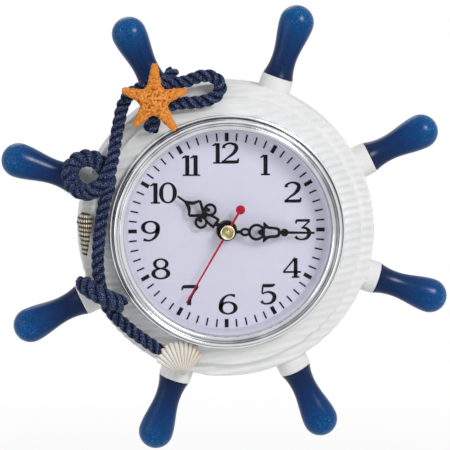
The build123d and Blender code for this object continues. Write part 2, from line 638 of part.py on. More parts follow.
# Cannon pinion: pinion and tube of the minute hand, which also carries the centre wheel by friction
with BuildPart() as cannon_pinion:
    pinion(MOTION_LAYER, CANNON_TEETH, MOTION_WHEEL_TEETH, MOTION_SPACING, CENTRE_AT, MOTION_ANGLE)
    cannon_low = layer_base(CENTRE_LAYER)
    cannon_length = MINUTE_HAND_HEIGHT + HAND_THICKNESS - cannon_low
    disc(cannon_low, cannon_length, CANNON_RADIUS)
    disc(cannon_low, cannon_length, SECONDS_ARBOR_RADIUS + RUNNING_CLEARANCE, mode=Mode.SUBTRACT)
save(cannon_pinion, "cannon_pinion")

# Motion wheel: turns the hour wheel from the cannon pinion, and its arbor ends in the setting knob
KNOB_FRONT_HEIGHT = CASE_BACK_HEIGHT - KNOB_GAP

with BuildPart() as motion_wheel:
    wheel(MOTION_LAYER, MOTION_WHEEL_TEETH, CANNON_TEETH, MOTION_SPACING, MOTION_AT, MOTION_ANGLE + 180)
    pinion(HOUR_LAYER, MOTION_PINION_TEETH, HOUR_WHEEL_TEETH, MOTION_SPACING, MOTION_AT, MOTION_ANGLE + 180)
    arbor_low = KNOB_FRONT_HEIGHT - KNOB_THICKNESS
    arbor_high = PLATE_HEIGHT - LAYER_START
    disc(arbor_low, arbor_high - arbor_low, SETTING_ARBOR_RADIUS, at=MOTION_AT)
    disc(arbor_high, LAYER_START + PIVOT_DEPTH - RUNNING_CLEARANCE, PIVOT_RADIUS, at=MOTION_AT)
save(motion_wheel, "motion_wheel")

with BuildPart() as setting_knob:
    with BuildSketch(level(KNOB_FRONT_HEIGHT - KNOB_THICKNESS)):
        with Locations(MOTION_AT):
            Circle(KNOB_RADIUS)
            Circle(SETTING_ARBOR_RADIUS, mode=Mode.SUBTRACT)
            with PolarLocations(KNOB_RADIUS, KNOB_GRIP_COUNT):
                Circle(KNOB_GRIP_RADIUS, mode=Mode.SUBTRACT)
    extrude(amount=KNOB_THICKNESS)
save(setting_knob, "setting_knob")

# Centre wheel, third wheel, seconds wheel and intermediate wheel
with BuildPart() as centre_wheel:
    wheel(CENTRE_LAYER, CENTRE_WHEEL_TEETH, THIRD_PINION_TEETH, TRAIN_SPACING, CENTRE_AT, TRAIN_ANGLE)
    disc(layer_base(CENTRE_LAYER), WHEEL_THICKNESS, CANNON_RADIUS + RUNNING_CLEARANCE, mode=Mode.SUBTRACT)
save(centre_wheel, "centre_wheel")

with BuildPart() as third_wheel:
    wheel(THIRD_LAYER, THIRD_WHEEL_TEETH, SECONDS_PINION_TEETH, TRAIN_SPACING, THIRD_AT, TRAIN_ANGLE + 180)
    pinion(CENTRE_LAYER, THIRD_PINION_TEETH, CENTRE_WHEEL_TEETH, TRAIN_SPACING, THIRD_AT, TRAIN_ANGLE + 180)
    arbor(THIRD_AT, PIVOT_BOSS_TOP + RUNNING_CLEARANCE, PLATE_HEIGHT - RUNNING_CLEARANCE)
save(third_wheel, "third_wheel")

with BuildPart() as seconds_wheel:
    wheel(
        SECONDS_LAYER,
        SECONDS_WHEEL_TEETH,
        INTERMEDIATE_PINION_TEETH,
        SECONDS_SPACING,
        CENTRE_AT,
        INTERMEDIATE_ANGLE,
    )
    pinion(THIRD_LAYER, SECONDS_PINION_TEETH, THIRD_WHEEL_TEETH, TRAIN_SPACING, CENTRE_AT, TRAIN_ANGLE)
    seconds_low = PIVOT_BOSS_TOP + RUNNING_CLEARANCE
    disc(seconds_low, SECONDS_HAND_HEIGHT + HAND_THICKNESS - seconds_low, SECONDS_ARBOR_RADIUS)
    disc(seconds_low - PIVOT_DEPTH + RUNNING_CLEARANCE, PIVOT_DEPTH, PIVOT_RADIUS)
save(seconds_wheel, "seconds_wheel")

with BuildPart() as intermediate_wheel:
    wheel(
        MOTOR_LAYER,
        INTERMEDIATE_WHEEL_TEETH,
        ROTOR_PINION_TEETH,
        ROTOR_SPACING,
        INTERMEDIATE_AT,
        ROTOR_ANGLE,
    )
    pinion(
        SECONDS_LAYER,
        INTERMEDIATE_PINION_TEETH,
        SECONDS_WHEEL_TEETH,
        SECONDS_SPACING,
        INTERMEDIATE_AT,
        INTERMEDIATE_ANGLE + 180,
    )
    arbor(INTERMEDIATE_AT, PIVOT_BOSS_TOP + RUNNING_CLEARANCE, PLATE_HEIGHT - RUNNING_CLEARANCE)
save(intermediate_wheel, "intermediate_wheel")

# Stepping motor: rotor, stator with its core bar, and the coil on the bar
with BuildPart() as rotor:
    pinion(
        MOTOR_LAYER,
        ROTOR_PINION_TEETH,
        INTERMEDIATE_WHEEL_TEETH,
        ROTOR_SPACING,
        ROTOR_AT,
        ROTOR_ANGLE + 180,
    )
    disc(MAGNET_BASE, MAGNET_LENGTH, MAGNET_RADIUS, at=ROTOR_AT)
    arbor(ROTOR_AT, PIVOT_BOSS_TOP + RUNNING_CLEARANCE, PLATE_HEIGHT - RUNNING_CLEARANCE)
save(rotor, "rotor")

STATOR_WIDTH = STATOR_LEFT + STATOR_RIGHT
STATOR_MIDDLE = (STATOR_RIGHT - STATOR_LEFT) / 2
STATOR_TOP = CORE_Y + STATOR_BAR / 2
STATOR_LOW = ROTOR_AT[1] - STATOR_BAR / 2
STATOR_TALL = STATOR_TOP - STATOR_LOW

with BuildPart() as stator:
    with BuildSketch(level(STATOR_HEIGHT)):
        with Locations((STATOR_MIDDLE, STATOR_LOW + STATOR_TALL / 2)):
            Rectangle(STATOR_WIDTH, STATOR_TALL)
            Rectangle(STATOR_WIDTH - 2 * STATOR_BAR, STATOR_TALL - 2 * STATOR_BAR, mode=Mode.SUBTRACT)
        with Locations(ROTOR_AT):
            Circle(STATOR_EYE_RADIUS)
            Circle(STATOR_BORE_RADIUS, mode=Mode.SUBTRACT)
    extrude(amount=STATOR_THICKNESS)
save(stator, "stator")

CORE_PLANE = level(STATOR_HEIGHT + STATOR_THICKNESS / 2)
COIL_LEFT = Plane(
    origin=CORE_PLANE.from_local_coords((STATOR_MIDDLE - COIL_LENGTH / 2, CORE_Y, 0)),
    x_dir=(0, 0, 1),
    z_dir=(1, 0, 0),
)

with BuildPart() as motor_coil:
    with BuildSketch(COIL_LEFT):
        RectangleRounded(COIL_SIZE - 2 * COIL_WAIST, COIL_SIZE - 2 * COIL_WAIST, COIL_CORNER)
    extrude(amount=COIL_LENGTH)
    with BuildSketch(COIL_LEFT):
        RectangleRounded(COIL_SIZE, COIL_SIZE, COIL_CORNER)
    extrude(amount=COIL_FLANGE)
    with BuildSketch(COIL_LEFT.offset(COIL_LENGTH - COIL_FLANGE)):
        RectangleRounded(COIL_SIZE, COIL_SIZE, COIL_CORNER)
    extrude(amount=COIL_FLANGE)
    with BuildSketch(COIL_LEFT):
        Rectangle(STATOR_BAR + 2 * FIT_CLEARANCE, STATOR_THICKNESS + 2 * FIT_CLEARANCE)
    extrude(amount=COIL_LENGTH, mode=Mode.SUBTRACT)
save(motor_coil, "motor_coil")

# Circuit board with the moulded blob over its chip
BOARD_LEFT = MOTION_AT[0] + PIVOT_BOSS_RADIUS + BOARD_BOSS_GAP
BOARD_WIDTH = CASE_INNER_WIDTH / 2 - BOARD_WALL_GAP - BOARD_LEFT
BOARD_LOW = BAY_TOP + CASE_WALL + BOARD_BAY_GAP

with BuildPart() as circuit_board:
    with BuildSketch(level(FLOOR_HEIGHT + SEAT_GAP)):
        with Locations((BOARD_LEFT, BOARD_LOW)):
            Rectangle(BOARD_WIDTH, BOARD_HEIGHT, align=(Align.MIN, Align.MIN))
    extrude(amount=BOARD_THICKNESS)
    chip_at = (BOARD_LEFT + BOARD_WIDTH / 2, BOARD_LOW + BOARD_HEIGHT / 2)
    disc(FLOOR_HEIGHT + SEAT_GAP + BOARD_THICKNESS, CHIP_RISE, CHIP_RADIUS, at=chip_at)
save(circuit_board, "circuit_board")

# Battery: one cell lying across the bay, and a leaf contact folded at each end of it
BATTERY_END = Plane(
    origin=level(BATTERY_HEIGHT).from_local_coords((-BATTERY_LENGTH / 2, BATTERY_Y, 0)),
    x_dir=(0, 0, 1),
    z_dir=(1, 0, 0),
)

with BuildPart() as battery:
    with BuildSketch(BATTERY_END):
        Circle(BATTERY_RADIUS)
    extrude(amount=BATTERY_LENGTH - BATTERY_NUB)
    chamfer(battery.edges().filter_by(GeomType.CIRCLE), BATTERY_EDGE)
    with BuildSketch(BATTERY_END):
        Circle(BATTERY_NUB_RADIUS)
    extrude(amount=BATTERY_LENGTH)
save(battery, "battery")

CONTACT_OUTER = CASE_INNER_WIDTH / 2 - SEAT_GAP
CONTACT_INNER = BATTERY_LENGTH / 2 + SEAT_GAP

with BuildPart() as battery_contacts:
    for side in (-1, 1):
        with BuildSketch(level(BATTERY_HEIGHT - CONTACT_HEIGHT / 2)):
            with BuildLine():
                Polyline(
                    (side * CONTACT_INNER, BATTERY_Y - CONTACT_WIDTH / 2),
                    (side * CONTACT_OUTER, BATTERY_Y - CONTACT_WIDTH / 2),
                    (side * CONTACT_OUTER, BATTERY_Y + CONTACT_WIDTH / 2),
                    (side * (CONTACT_OUTER - CONTACT_SHEET), BATTERY_Y + CONTACT_WIDTH / 2),
                    (side * (CONTACT_OUTER - CONTACT_SHEET), BATTERY_Y - CONTACT_WIDTH / 2 + CONTACT_SHEET),
                    (side * (CONTACT_INNER + CONTACT_SHEET), BATTERY_Y - CONTACT_WIDTH / 2 + CONTACT_SHEET),
                    (side * (CONTACT_INNER + CONTACT_SHEET), BATTERY_Y + CONTACT_WIDTH / 2),
                    (side * CONTACT_INNER, BATTERY_Y + CONTACT_WIDTH / 2),
                    close=True,
                )
            make_face()
        extrude(amount=CONTACT_HEIGHT)
save(battery_contacts, "battery_contacts")

# Hour hand: hub, oval link, two scrolls side by side, barbed spade with an open middle, and a needle
HOUR_LINK_AT_SHARE = 0.345
HOUR_LINK_LONG_SHARE = 0.105
HOUR_LINK_WIDE_SHARE = 0.072
HOUR_SCROLL_AT_SHARE = 0.46
HOUR_SCROLL_OUT_SHARE = 0.122
HOUR_SCROLL_RADIUS_SHARE = 0.103
HOUR_SPADE_SHARES = ((0.5, 0.03), (0.69, 0.145), (0.75, 0.055), (0.81, 0.012))
HOUR_OPENING_SHARES = ((0.565, 0.0), (0.68, 0.078), (0.74, 0.0))


def mirrored(shares, length):
    """Outline points on both sides of a hand's middle line, from (along, across) shares of its length."""
    right = [(across * length, along * length) for along, across in shares]
    left = [(-x, y) for x, y in reversed(right) if x > 0]
    return right + left


with BuildPart() as hour_hand:
    with BuildSketch(hand_plane(HOUR_HAND_ANGLE, HOUR_HAND_HEIGHT)):
        Circle(HOUR_HUB_RADIUS)
        link_at = HOUR_LINK_AT_SHARE * HOUR_HAND_LENGTH
        Rectangle(2 * NEEDLE_WIDTH, HOUR_SCROLL_AT_SHARE * HOUR_HAND_LENGTH, align=(Align.CENTER, Align.MIN))
        with Locations((0, link_at)):
            link_wide = HOUR_LINK_WIDE_SHARE * HOUR_HAND_LENGTH
            link_long = HOUR_LINK_LONG_SHARE * HOUR_HAND_LENGTH
            Ellipse(link_wide, link_long)
            Ellipse(link_wide - HAND_STROKE, link_long - HAND_STROKE, mode=Mode.SUBTRACT)
        scroll = HOUR_SCROLL_RADIUS_SHARE * HOUR_HAND_LENGTH
        for side in (-1, 1):
            with Locations(
                (side * HOUR_SCROLL_OUT_SHARE * HOUR_HAND_LENGTH, HOUR_SCROLL_AT_SHARE * HOUR_HAND_LENGTH)
            ):
                Circle(scroll)
                Circle(scroll - HAND_STROKE, mode=Mode.SUBTRACT)
                with Locations((-side * HAND_STROKE, HAND_STROKE)):
                    Circle(scroll - 2 * HAND_STROKE)
        with Locations((0, HOUR_SCROLL_AT_SHARE * HOUR_HAND_LENGTH)):
            Circle(2 * HAND_STROKE)
        Polygon(*mirrored(HOUR_SPADE_SHARES, HOUR_HAND_LENGTH), align=None)
        Polygon(*mirrored(HOUR_OPENING_SHARES, HOUR_HAND_LENGTH), align=None, mode=Mode.SUBTRACT)
        needle_from = HOUR_SPADE_SHARES[-2][0] * HOUR_HAND_LENGTH
        with Locations((0, needle_from)):
            Rectangle(NEEDLE_WIDTH, HOUR_HAND_LENGTH - needle_from, align=(Align.CENTER, Align.MIN))
        Circle(HOUR_TUBE_RADIUS, mode=Mode.SUBTRACT)
    extrude(amount=HAND_THICKNESS)
save(hour_hand, "hour_hand")

# Minute hand: hub, stem, oval link, large ring with a pointed insert, barbed lyre, bead and needle
MINUTE_LINK_AT_SHARE = 0.205
MINUTE_LINK_LONG_SHARE = 0.06
MINUTE_LINK_WIDE_SHARE = 0.046
MINUTE_RING_AT_SHARE = 0.335
MINUTE_RING_SHARE = 0.096
MINUTE_INSERT_SHARES = ((0.35, 0.0), (0.375, 0.04), (0.425, 0.04))
MINUTE_LYRE_SHARES = ((0.405, 0.05), (0.43, 0.115), (0.475, 0.066), (0.57, 0.052), (0.605, 0.02))
MINUTE_LYRE_OPENING_SHARES = ((0.44, 0.045), (0.48, 0.044), (0.565, 0.032), (0.58, 0.0))
MINUTE_BEAD_AT_SHARE = 0.655
MINUTE_BEAD_SHARE = 0.046

with BuildPart() as minute_hand:
    with BuildSketch(hand_plane(MINUTE_HAND_ANGLE, MINUTE_HAND_HEIGHT)):
        Circle(MINUTE_HUB_RADIUS)
        link_at = MINUTE_LINK_AT_SHARE * MINUTE_HAND_LENGTH
        Rectangle(2 * NEEDLE_WIDTH, link_at, align=(Align.CENTER, Align.MIN))
        with Locations((0, link_at)):
            link_wide = MINUTE_LINK_WIDE_SHARE * MINUTE_HAND_LENGTH
            link_long = MINUTE_LINK_LONG_SHARE * MINUTE_HAND_LENGTH
            Ellipse(link_wide, link_long)
            Ellipse(link_wide - HAND_STROKE, link_long - HAND_STROKE, mode=Mode.SUBTRACT)
        with Locations((0, MINUTE_RING_AT_SHARE * MINUTE_HAND_LENGTH)):
            Circle(MINUTE_RING_SHARE * MINUTE_HAND_LENGTH)
            Circle(MINUTE_RING_SHARE * MINUTE_HAND_LENGTH - HAND_STROKE, mode=Mode.SUBTRACT)
        Polygon(*mirrored(MINUTE_INSERT_SHARES, MINUTE_HAND_LENGTH), align=None)
        Polygon(*mirrored(MINUTE_LYRE_SHARES, MINUTE_HAND_LENGTH), align=None)
        Polygon(*mirrored(MINUTE_LYRE_OPENING_SHARES, MINUTE_HAND_LENGTH), align=None, mode=Mode.SUBTRACT)
        with Locations((0, MINUTE_BEAD_AT_SHARE * MINUTE_HAND_LENGTH)):
            Circle(MINUTE_BEAD_SHARE * MINUTE_HAND_LENGTH)
        needle_from = MINUTE_LYRE_SHARES[-1][0] * MINUTE_HAND_LENGTH
        with Locations((0, needle_from)):
            Rectangle(NEEDLE_WIDTH, MINUTE_HAND_LENGTH - needle_from, align=(Align.CENTER, Align.MIN))
        Circle(CANNON_RADIUS, mode=Mode.SUBTRACT)
    extrude(amount=HAND_THICKNESS)
save(minute_hand, "minute_hand")

# Seconds hand: a thin tapered pointer with a round tail
with BuildPart() as seconds_hand:
    with BuildSketch(hand_plane(SECONDS_HAND_ANGLE, SECONDS_HAND_HEIGHT)):
        with BuildLine():
            Polyline(
                (-SECONDS_HAND_WIDTH / 2, -SECONDS_TAIL),
                (SECONDS_HAND_WIDTH / 2, -SECONDS_TAIL),
                (SECONDS_TIP_WIDTH / 2, SECONDS_HAND_LENGTH),
                (-SECONDS_TIP_WIDTH / 2, SECONDS_HAND_LENGTH),
                close=True,
            )
        make_face()
        Circle(SECONDS_HUB_RADIUS)
        with Locations((0, -SECONDS_TAIL)):
            Circle(SECONDS_TAIL_RADIUS)
        Circle(SECONDS_ARBOR_RADIUS, mode=Mode.SUBTRACT)
    extrude(amount=HAND_THICKNESS)
save(seconds_hand, "seconds_hand")

with BuildPart() as hand_cap:
    disc(SECONDS_HAND_HEIGHT + HAND_THICKNESS, CAP_HEIGHT, CAP_RADIUS)
    fillet(hand_cap.edges().filter_by(GeomType.CIRCLE).sort_by(Axis.Y)[0], CAP_ROUND)
save(hand_cap, "hand_cap")

# Keyhole hanger and its screws
with BuildPart() as hanger_plate:
    with BuildSketch(HANGER_BACK):
        RectangleRounded(HANGER_WIDTH, HANGER_TALL, HANGER_CORNER)
        Circle(KEYHOLE_RADIUS, mode=Mode.SUBTRACT)
        with Locations((0, KEYHOLE_SLOT_RISE / 2)):
            Rectangle(KEYHOLE_SLOT_WIDTH, KEYHOLE_SLOT_RISE, mode=Mode.SUBTRACT)
        with Locations((0, KEYHOLE_SLOT_RISE)):
            Circle(KEYHOLE_SLOT_WIDTH / 2, mode=Mode.SUBTRACT)
        with GridLocations(HANGER_SCREW_SPACING, 0, 2, 1):
            Circle(SCREW_RADIUS + FIT_CLEARANCE, mode=Mode.SUBTRACT)
    extrude(amount=HANGER_SHEET)
    countersinks = hanger_plate.edges().filter_by(
        lambda e: e.geom_type == GeomType.CIRCLE and e.radius == SCREW_RADIUS + FIT_CLEARANCE
    )
    chamfer(countersinks.group_by(Axis.Y)[-1], HANGER_SHEET - FIT_CLEARANCE)
save(hanger_plate, "hanger_plate")

with BuildPart() as hanger_screws:
    for side in (-1, 1):
        screw_axis = Plane(
            origin=(side * HANGER_SCREW_SPACING / 2, 0, 0), x_dir=(1, 0, 0), z_dir=(0, 0, -1)
        )
        head = SCREW_RADIUS + HANGER_SHEET - FIT_CLEARANCE
        with BuildSketch(screw_axis):
            with BuildLine():
                Polyline(
                    (0, 0),
                    (head, 0),
                    (SCREW_RADIUS, head - SCREW_RADIUS),
                    (SCREW_RADIUS, SCREW_LENGTH - SCREW_RADIUS),
                    (0, SCREW_LENGTH),
                    close=True,
                )
            make_face()
        revolve(axis=Axis(screw_axis.origin, (0, -1, 0)))
save(hanger_screws, "hanger_screws")

# Rope routes: points across, up and above the wall, as the rope lies on the ring, the bosses and itself
MAIN_ROUTE = [
    (-38.0, -62.3, 29.8),
    (-47.2, -56.2, 29.8),
    (-55.0, -49.6, 29.6),
    (-62.0, -43.4, 28.9),
    (-66.8, -35.6, 28.8),
    (-68.9, -25.6, 29.8),
    (-69.9, -14.6, 29.8),
    (-69.0, -4.0, 29.8),
    (-67.9, 6.6, 29.8),
    (-66.2, 16.6, 29.8),
    (-63.6, 25.6, 29.8),
    (-64.4, 33.4, 30.2),
    (-69.0, 40.0, 28.8),
    (-76.6, 41.4, 27.0),
    (-83.0, 37.6, 26.0),
    (-84.6, 31.0, 26.0),
    (-81.4, 24.6, 26.6),
    (-76.0, 22.4, 29.8),
    (-70.6, 24.8, 35.2),
    (-65.6, 30.2, 38.2),
    (-62.4, 36.8, 37.2),
    (-60.8, 44.6, 32.8),
    (-59.4, 52.6, 28.8),
    (-57.6, 61.0, 27.0),
    (-56.0, 69.2, 27.0),
    (-52.0, 76.0, 30.4),
    (-44.8, 79.4, 32.8),
    (-37.0, 79.6, 32.8),
    (-30.0, 81.0, 31.2),
    (-22.6, 81.2, 29.6),
    (-15.4, 84.4, 28.6),
    (-8.2, 84.6, 28.0),
    (-3.0, 80.0, 28.6),
    (-5.4, 73.6, 29.6),
    (-12.6, 70.8, 29.8),
    (-20.4, 70.2, 29.8),
    (-28.0, 70.0, 29.8),
    (-35.0, 67.4, 29.8),
    (-39.6, 62.0, 29.8),
    (-41.2, 55.6, 29.8),
]
UPPER_HITCH_ROUTE = [
    (-28.6, 85.6, 17.0),
    (-30.6, 82.6, 22.6),
    (-36.2, 78.4, 25.6),
    (-42.8, 74.6, 25.4),
    (-47.6, 71.4, 23.8),
]
LOWER_HITCH_ROUTE = [
    (-78.2, -26.4, 26.8),
    (-75.2, -28.2, 32.8),
    (-69.8, -31.0, 37.4),
    (-62.6, -34.6, 37.0),
    (-56.4, -37.8, 31.8),
]


def bend_radii(points):
    """Radius of the arc at each corner of a route, as large as its shorter run allows."""
    radii = []
    for before, corner, after in zip(points, points[1:], points[2:]):
        run_in = Vector(corner) - Vector(before)
        run_out = Vector(after) - Vector(corner)
        turn = radians(run_in.get_angle(run_out))
        radii.append(ARC_SHARE * min(run_in.length, run_out.length) / tan(turn / 2))
    return radii


def self_gap(path):
    """Least distance between two stretches of a rope that aren't neighbours, less its diameter."""
    count = int(path.length / GAP_SAMPLE_STEP)
    spots = [path.position_at(step / count) for step in range(count + 1)]
    apart = int(2 * pi * ROPE_RADIUS / GAP_SAMPLE_STEP)
    nearest = min(
        ((spots[i] - spots[j]).length for i in range(len(spots)) for j in range(i + apart, len(spots))),
        default=path.length,
    )
    return nearest - 2 * ROPE_RADIUS


def lay_rope(points):
    """One unbroken tube along straight runs and tangent arcs."""
    radii = bend_radii(points)
    with BuildLine(WALL) as route:
        FilletPolyline(*points, radius=radii)
    path = route.wire()
    with BuildSketch(Plane(origin=path @ 0, z_dir=path % 0)) as section:
        Circle(ROPE_RADIUS)
    sweep(section.sketch, path=path)
    return path, radii


for name, points in (
    ("rope_main", MAIN_ROUTE),
    ("rope_hitch_upper", UPPER_HITCH_ROUTE),
    ("rope_hitch_lower", LOWER_HITCH_ROUTE),
):
    with BuildPart() as rope:
        path, radii = lay_rope(points)
    save(rope, name)
    section_volume = pi * ROPE_RADIUS ** 2 * path.length
    print(name, "length", round(path.length, 1), "least radius", round(min(radii), 1))
    print(name, "volume over section times length", round(rope.part.volume / section_volume, 4))
    print(name, "least gap to itself", round(self_gap(path), 2), "needs over", LEAST_ROPE_GAP)

# Starfish: five tapering arms with rounded backs, joined in the middle


def half_oval(plane, half_width, rise):
    """Flat-bottomed oval section of an arm."""
    with BuildSketch(plane) as section:
        with BuildLine():
            Line((-half_width, 0), (half_width, 0))
            EllipticalCenterArc((0, 0), half_width, rise, start_angle=0, arc_size=90)
            EllipticalCenterArc((0, 0), half_width, rise, start_angle=90, arc_size=90)
        make_face()
    return section.sketch


STAR_AT = polar(RING_RADIUS + STAR_OUTSET, STAR_PLACE_ANGLE)

with BuildPart() as starfish:
    for number, arm_share in enumerate(STAR_ARM_SHARES):
        arm = turned(STAR_AT, RING_DEPTH + STAR_LIFT, STAR_ANGLE + number * 360 / len(STAR_ARM_SHARES))
        root = Plane(origin=arm.origin, x_dir=arm.y_dir, z_dir=arm.x_dir)
        middle = half_oval(root, STAR_ARM_WIDTH, STAR_RISE)
        tip = half_oval(root.offset(STAR_ARM * arm_share), STAR_TIP_WIDTH, STAR_TIP_RISE)
        loft([middle, tip])
save(starfish, "starfish")

# Scallop: one ribbed fan outline drawn in towards the hinge as it rises, and two flat ears at the hinge
SCALLOP_REACH = BEZEL_RADIUS + SHELL_GAP + SCALLOP_RADIUS + SCALLOP_RIB_RISE
SCALLOP_AT = polar(SCALLOP_REACH, SCALLOP_PLACE_ANGLE)
SCALLOP_PLANE = turned(SCALLOP_AT, RING_DEPTH + SHELL_SEAT, SCALLOP_ANGLE)


def fan_outline(scale):
    """Fan with a rounded rib at each step of its rim, drawn about a point near the hinge."""
    step = SCALLOP_SPREAD / SCALLOP_RIB_COUNT
    start = -SCALLOP_SPREAD / 2
    with BuildLine() as rim:
        corners = [polar(SCALLOP_RADIUS * scale, start + i * step) for i in range(SCALLOP_RIB_COUNT + 1)]
        for i in range(SCALLOP_RIB_COUNT):
            crest = polar((SCALLOP_RADIUS + SCALLOP_RIB_RISE) * scale, start + i * step + step / 2)
            ThreePointArc(corners[i], crest, corners[i + 1])
        hinge = SCALLOP_HINGE * scale
        Polyline(corners[-1], (-hinge, hinge), (-hinge, -hinge), corners[0])
    make_face(rim.edges())


with BuildPart() as scallop_shell:
    for scale, rise_share in SCALLOP_STEP_SHARES:
        with BuildSketch(SCALLOP_PLANE.offset(rise_share * SCALLOP_RISE)):
            fan_outline(scale)
    loft(ruled=True)
    with BuildSketch(SCALLOP_PLANE):
        Rectangle(SCALLOP_EAR_TALL, SCALLOP_EAR_WIDTH)
    extrude(amount=SCALLOP_EAR_SHEET)
save(scallop_shell, "scallop_shell")

# Turret shell: a rounded crown and whorls that shrink towards the point
TURRET_HEIGHT = TIER_HEIGHT + TURRET_RADIUS + SHELL_SEAT
TURRET_TOP = level(TURRET_HEIGHT).from_local_coords((-TIER_RADIUS - TURRET_OUTSET, TURRET_TOP_Y, 0))
TURRET_AXIS_PLANE = Plane(origin=TURRET_TOP, x_dir=(0, 0, -1), z_dir=(0, -1, 0))

with BuildPart() as spiral_shell:
    with BuildSketch(TURRET_AXIS_PLANE):
        with BuildLine():
            crown = TURRET_CROWN_SHARE * TURRET_LENGTH
            total = sum(TURRET_WHORL_SHRINK_SHARE ** i for i in range(TURRET_WHORL_COUNT))
            along = crown
            radius = TURRET_RADIUS
            Line((TURRET_LENGTH, 0), (0, 0))
            shoulder = (crown * (1 - cos(pi / 4)), TURRET_RADIUS * sin(pi / 4))
            ThreePointArc((0, 0), shoulder, (crown, TURRET_RADIUS))
            for whorl in range(TURRET_WHORL_COUNT):
                length = (TURRET_LENGTH - crown) * TURRET_WHORL_SHRINK_SHARE ** whorl / total
                end = along + length
                taper = (TURRET_LENGTH - end) / (TURRET_LENGTH - crown)
                end_radius = TURRET_TIP_RADIUS + (TURRET_RADIUS - TURRET_TIP_RADIUS) * taper
                middle = ((along + end) / 2, (radius + end_radius) / 2 + TURRET_BULGE_SHARE * length)
                ThreePointArc((along, radius), middle, (end, end_radius))
                along = end
                radius = end_radius
            Line((TURRET_LENGTH, TURRET_TIP_RADIUS), (TURRET_LENGTH, 0))
        make_face()
    revolve(axis=Axis(TURRET_AXIS_PLANE.origin, TURRET_AXIS_PLANE.x_dir))
save(spiral_shell, "spiral_shell")
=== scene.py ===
# %% [markdown]
# Ship's-wheel wall clock
#
# A white wooden wheel with blue turned handles holds a glass-fronted clock. A navy rope is wound over its
# left side, with a starfish and two shells glued on. The working pieces come from the CAD frame, and this
# lesson gives every surface its finish and models the pieces whose look needs more than the frame has.

# %% Load the frame
from math import atan2, cos, hypot, pi, radians, sin

import bpy
from mathutils import Matrix, Vector, kdtree, noise
from mathutils.geometry import interpolate_bezier


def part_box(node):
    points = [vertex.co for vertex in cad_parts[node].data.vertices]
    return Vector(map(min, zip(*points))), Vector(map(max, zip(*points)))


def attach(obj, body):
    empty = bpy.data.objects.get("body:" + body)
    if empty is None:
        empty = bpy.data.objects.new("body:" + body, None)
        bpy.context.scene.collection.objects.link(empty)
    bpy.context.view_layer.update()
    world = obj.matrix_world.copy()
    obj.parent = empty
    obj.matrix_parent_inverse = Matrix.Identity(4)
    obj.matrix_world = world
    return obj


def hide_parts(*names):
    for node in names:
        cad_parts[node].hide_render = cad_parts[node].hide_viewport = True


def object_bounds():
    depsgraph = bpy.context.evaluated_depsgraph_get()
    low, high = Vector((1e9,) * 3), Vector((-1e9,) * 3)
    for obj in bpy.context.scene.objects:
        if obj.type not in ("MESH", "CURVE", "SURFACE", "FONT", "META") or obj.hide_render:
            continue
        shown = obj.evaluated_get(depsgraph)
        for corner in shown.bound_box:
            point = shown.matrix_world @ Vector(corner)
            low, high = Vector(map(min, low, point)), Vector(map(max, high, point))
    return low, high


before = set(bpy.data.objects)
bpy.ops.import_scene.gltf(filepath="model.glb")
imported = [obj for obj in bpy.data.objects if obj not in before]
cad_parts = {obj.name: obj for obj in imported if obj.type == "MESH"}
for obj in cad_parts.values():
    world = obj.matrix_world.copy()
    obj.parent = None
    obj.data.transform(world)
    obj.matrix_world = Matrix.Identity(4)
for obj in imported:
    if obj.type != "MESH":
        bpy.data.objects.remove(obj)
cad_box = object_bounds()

MM = 0.001
bezel_low, bezel_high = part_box("bezel")
AXIS_Z = (bezel_low.z + bezel_high.z) / 2
print("wheel axis at height", round(AXIS_Z, 4), "with", len(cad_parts), "nodes")


# %% [markdown]
# Places on the clock
#
# The clock is flat against a wall, so a place is easiest to give as the viewer sees it: millimetres across
# and up from the wheel's axis, and millimetres forward from the wall. One function turns that into the
# frame's metres. The other helpers take the steps that most pieces share.

# %% Places and small helpers
def front(x, y, height):
    """A place across, up and forward from the wall, in millimetres, as a point of the frame."""
    return Vector((x * MM, -height * MM, AXIS_Z + y * MM))


def polar(radius, angle):
    """Across and up at a radius and an angle in degrees."""
    return radius * cos(radians(angle)), radius * sin(radians(angle))


def placed(name, data):
    """A new object in the scene that holds a mesh, curve, lamp or camera."""
    made = bpy.data.objects.new(name, data)
    bpy.context.scene.collection.objects.link(made)
    return made


def copy_of(piece):
    """A copy with its own mesh, in the same place."""
    twin = piece.copy()
    twin.data = piece.data.copy()
    bpy.context.scene.collection.objects.link(twin)
    return twin


def deselect():
    bpy.ops.object.select_all(action="DESELECT")


def choose(piece):
    """Make one piece the only selected and active object."""
    deselect()
    piece.select_set(True)
    bpy.context.view_layer.objects.active = piece


def weld(piece, gap):
    """Merge the points of a piece that lie closer together than a gap."""
    choose(piece)
    bpy.ops.object.mode_set(mode="EDIT")
    bpy.ops.mesh.select_all(action="SELECT")
    bpy.ops.mesh.remove_doubles(threshold=gap)
    bpy.ops.object.mode_set(mode="OBJECT")


def modified(piece, kind, **settings):
    """A piece with one modifier set and applied."""
    choose(piece)
    modifier = piece.modifiers.new(kind.lower(), kind)
    for key, value in settings.items():
        setattr(modifier, key, value)
    bpy.ops.object.modifier_apply(modifier=modifier.name)
    return piece


def cover(piece, material):
    """Give a piece one finish and no other."""
    piece.data.materials.clear()
    piece.data.materials.append(material)


def settle(piece, name, material, smooth=40, replaced=(), body="case"):
    """Name a piece, smooth its edges up to an angle, paint it and seat it on its body."""
    choose(piece)
    bpy.ops.object.transform_apply(location=True, rotation=True, scale=True)
    bpy.ops.object.shade_smooth_by_angle(angle=radians(smooth))
    piece.name = name
    piece.data.name = name
    cover(piece, material)
    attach(piece, body)
    if replaced:
        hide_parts(*replaced)
    print(name, "has", len(piece.data.polygons), "faces")
    return piece


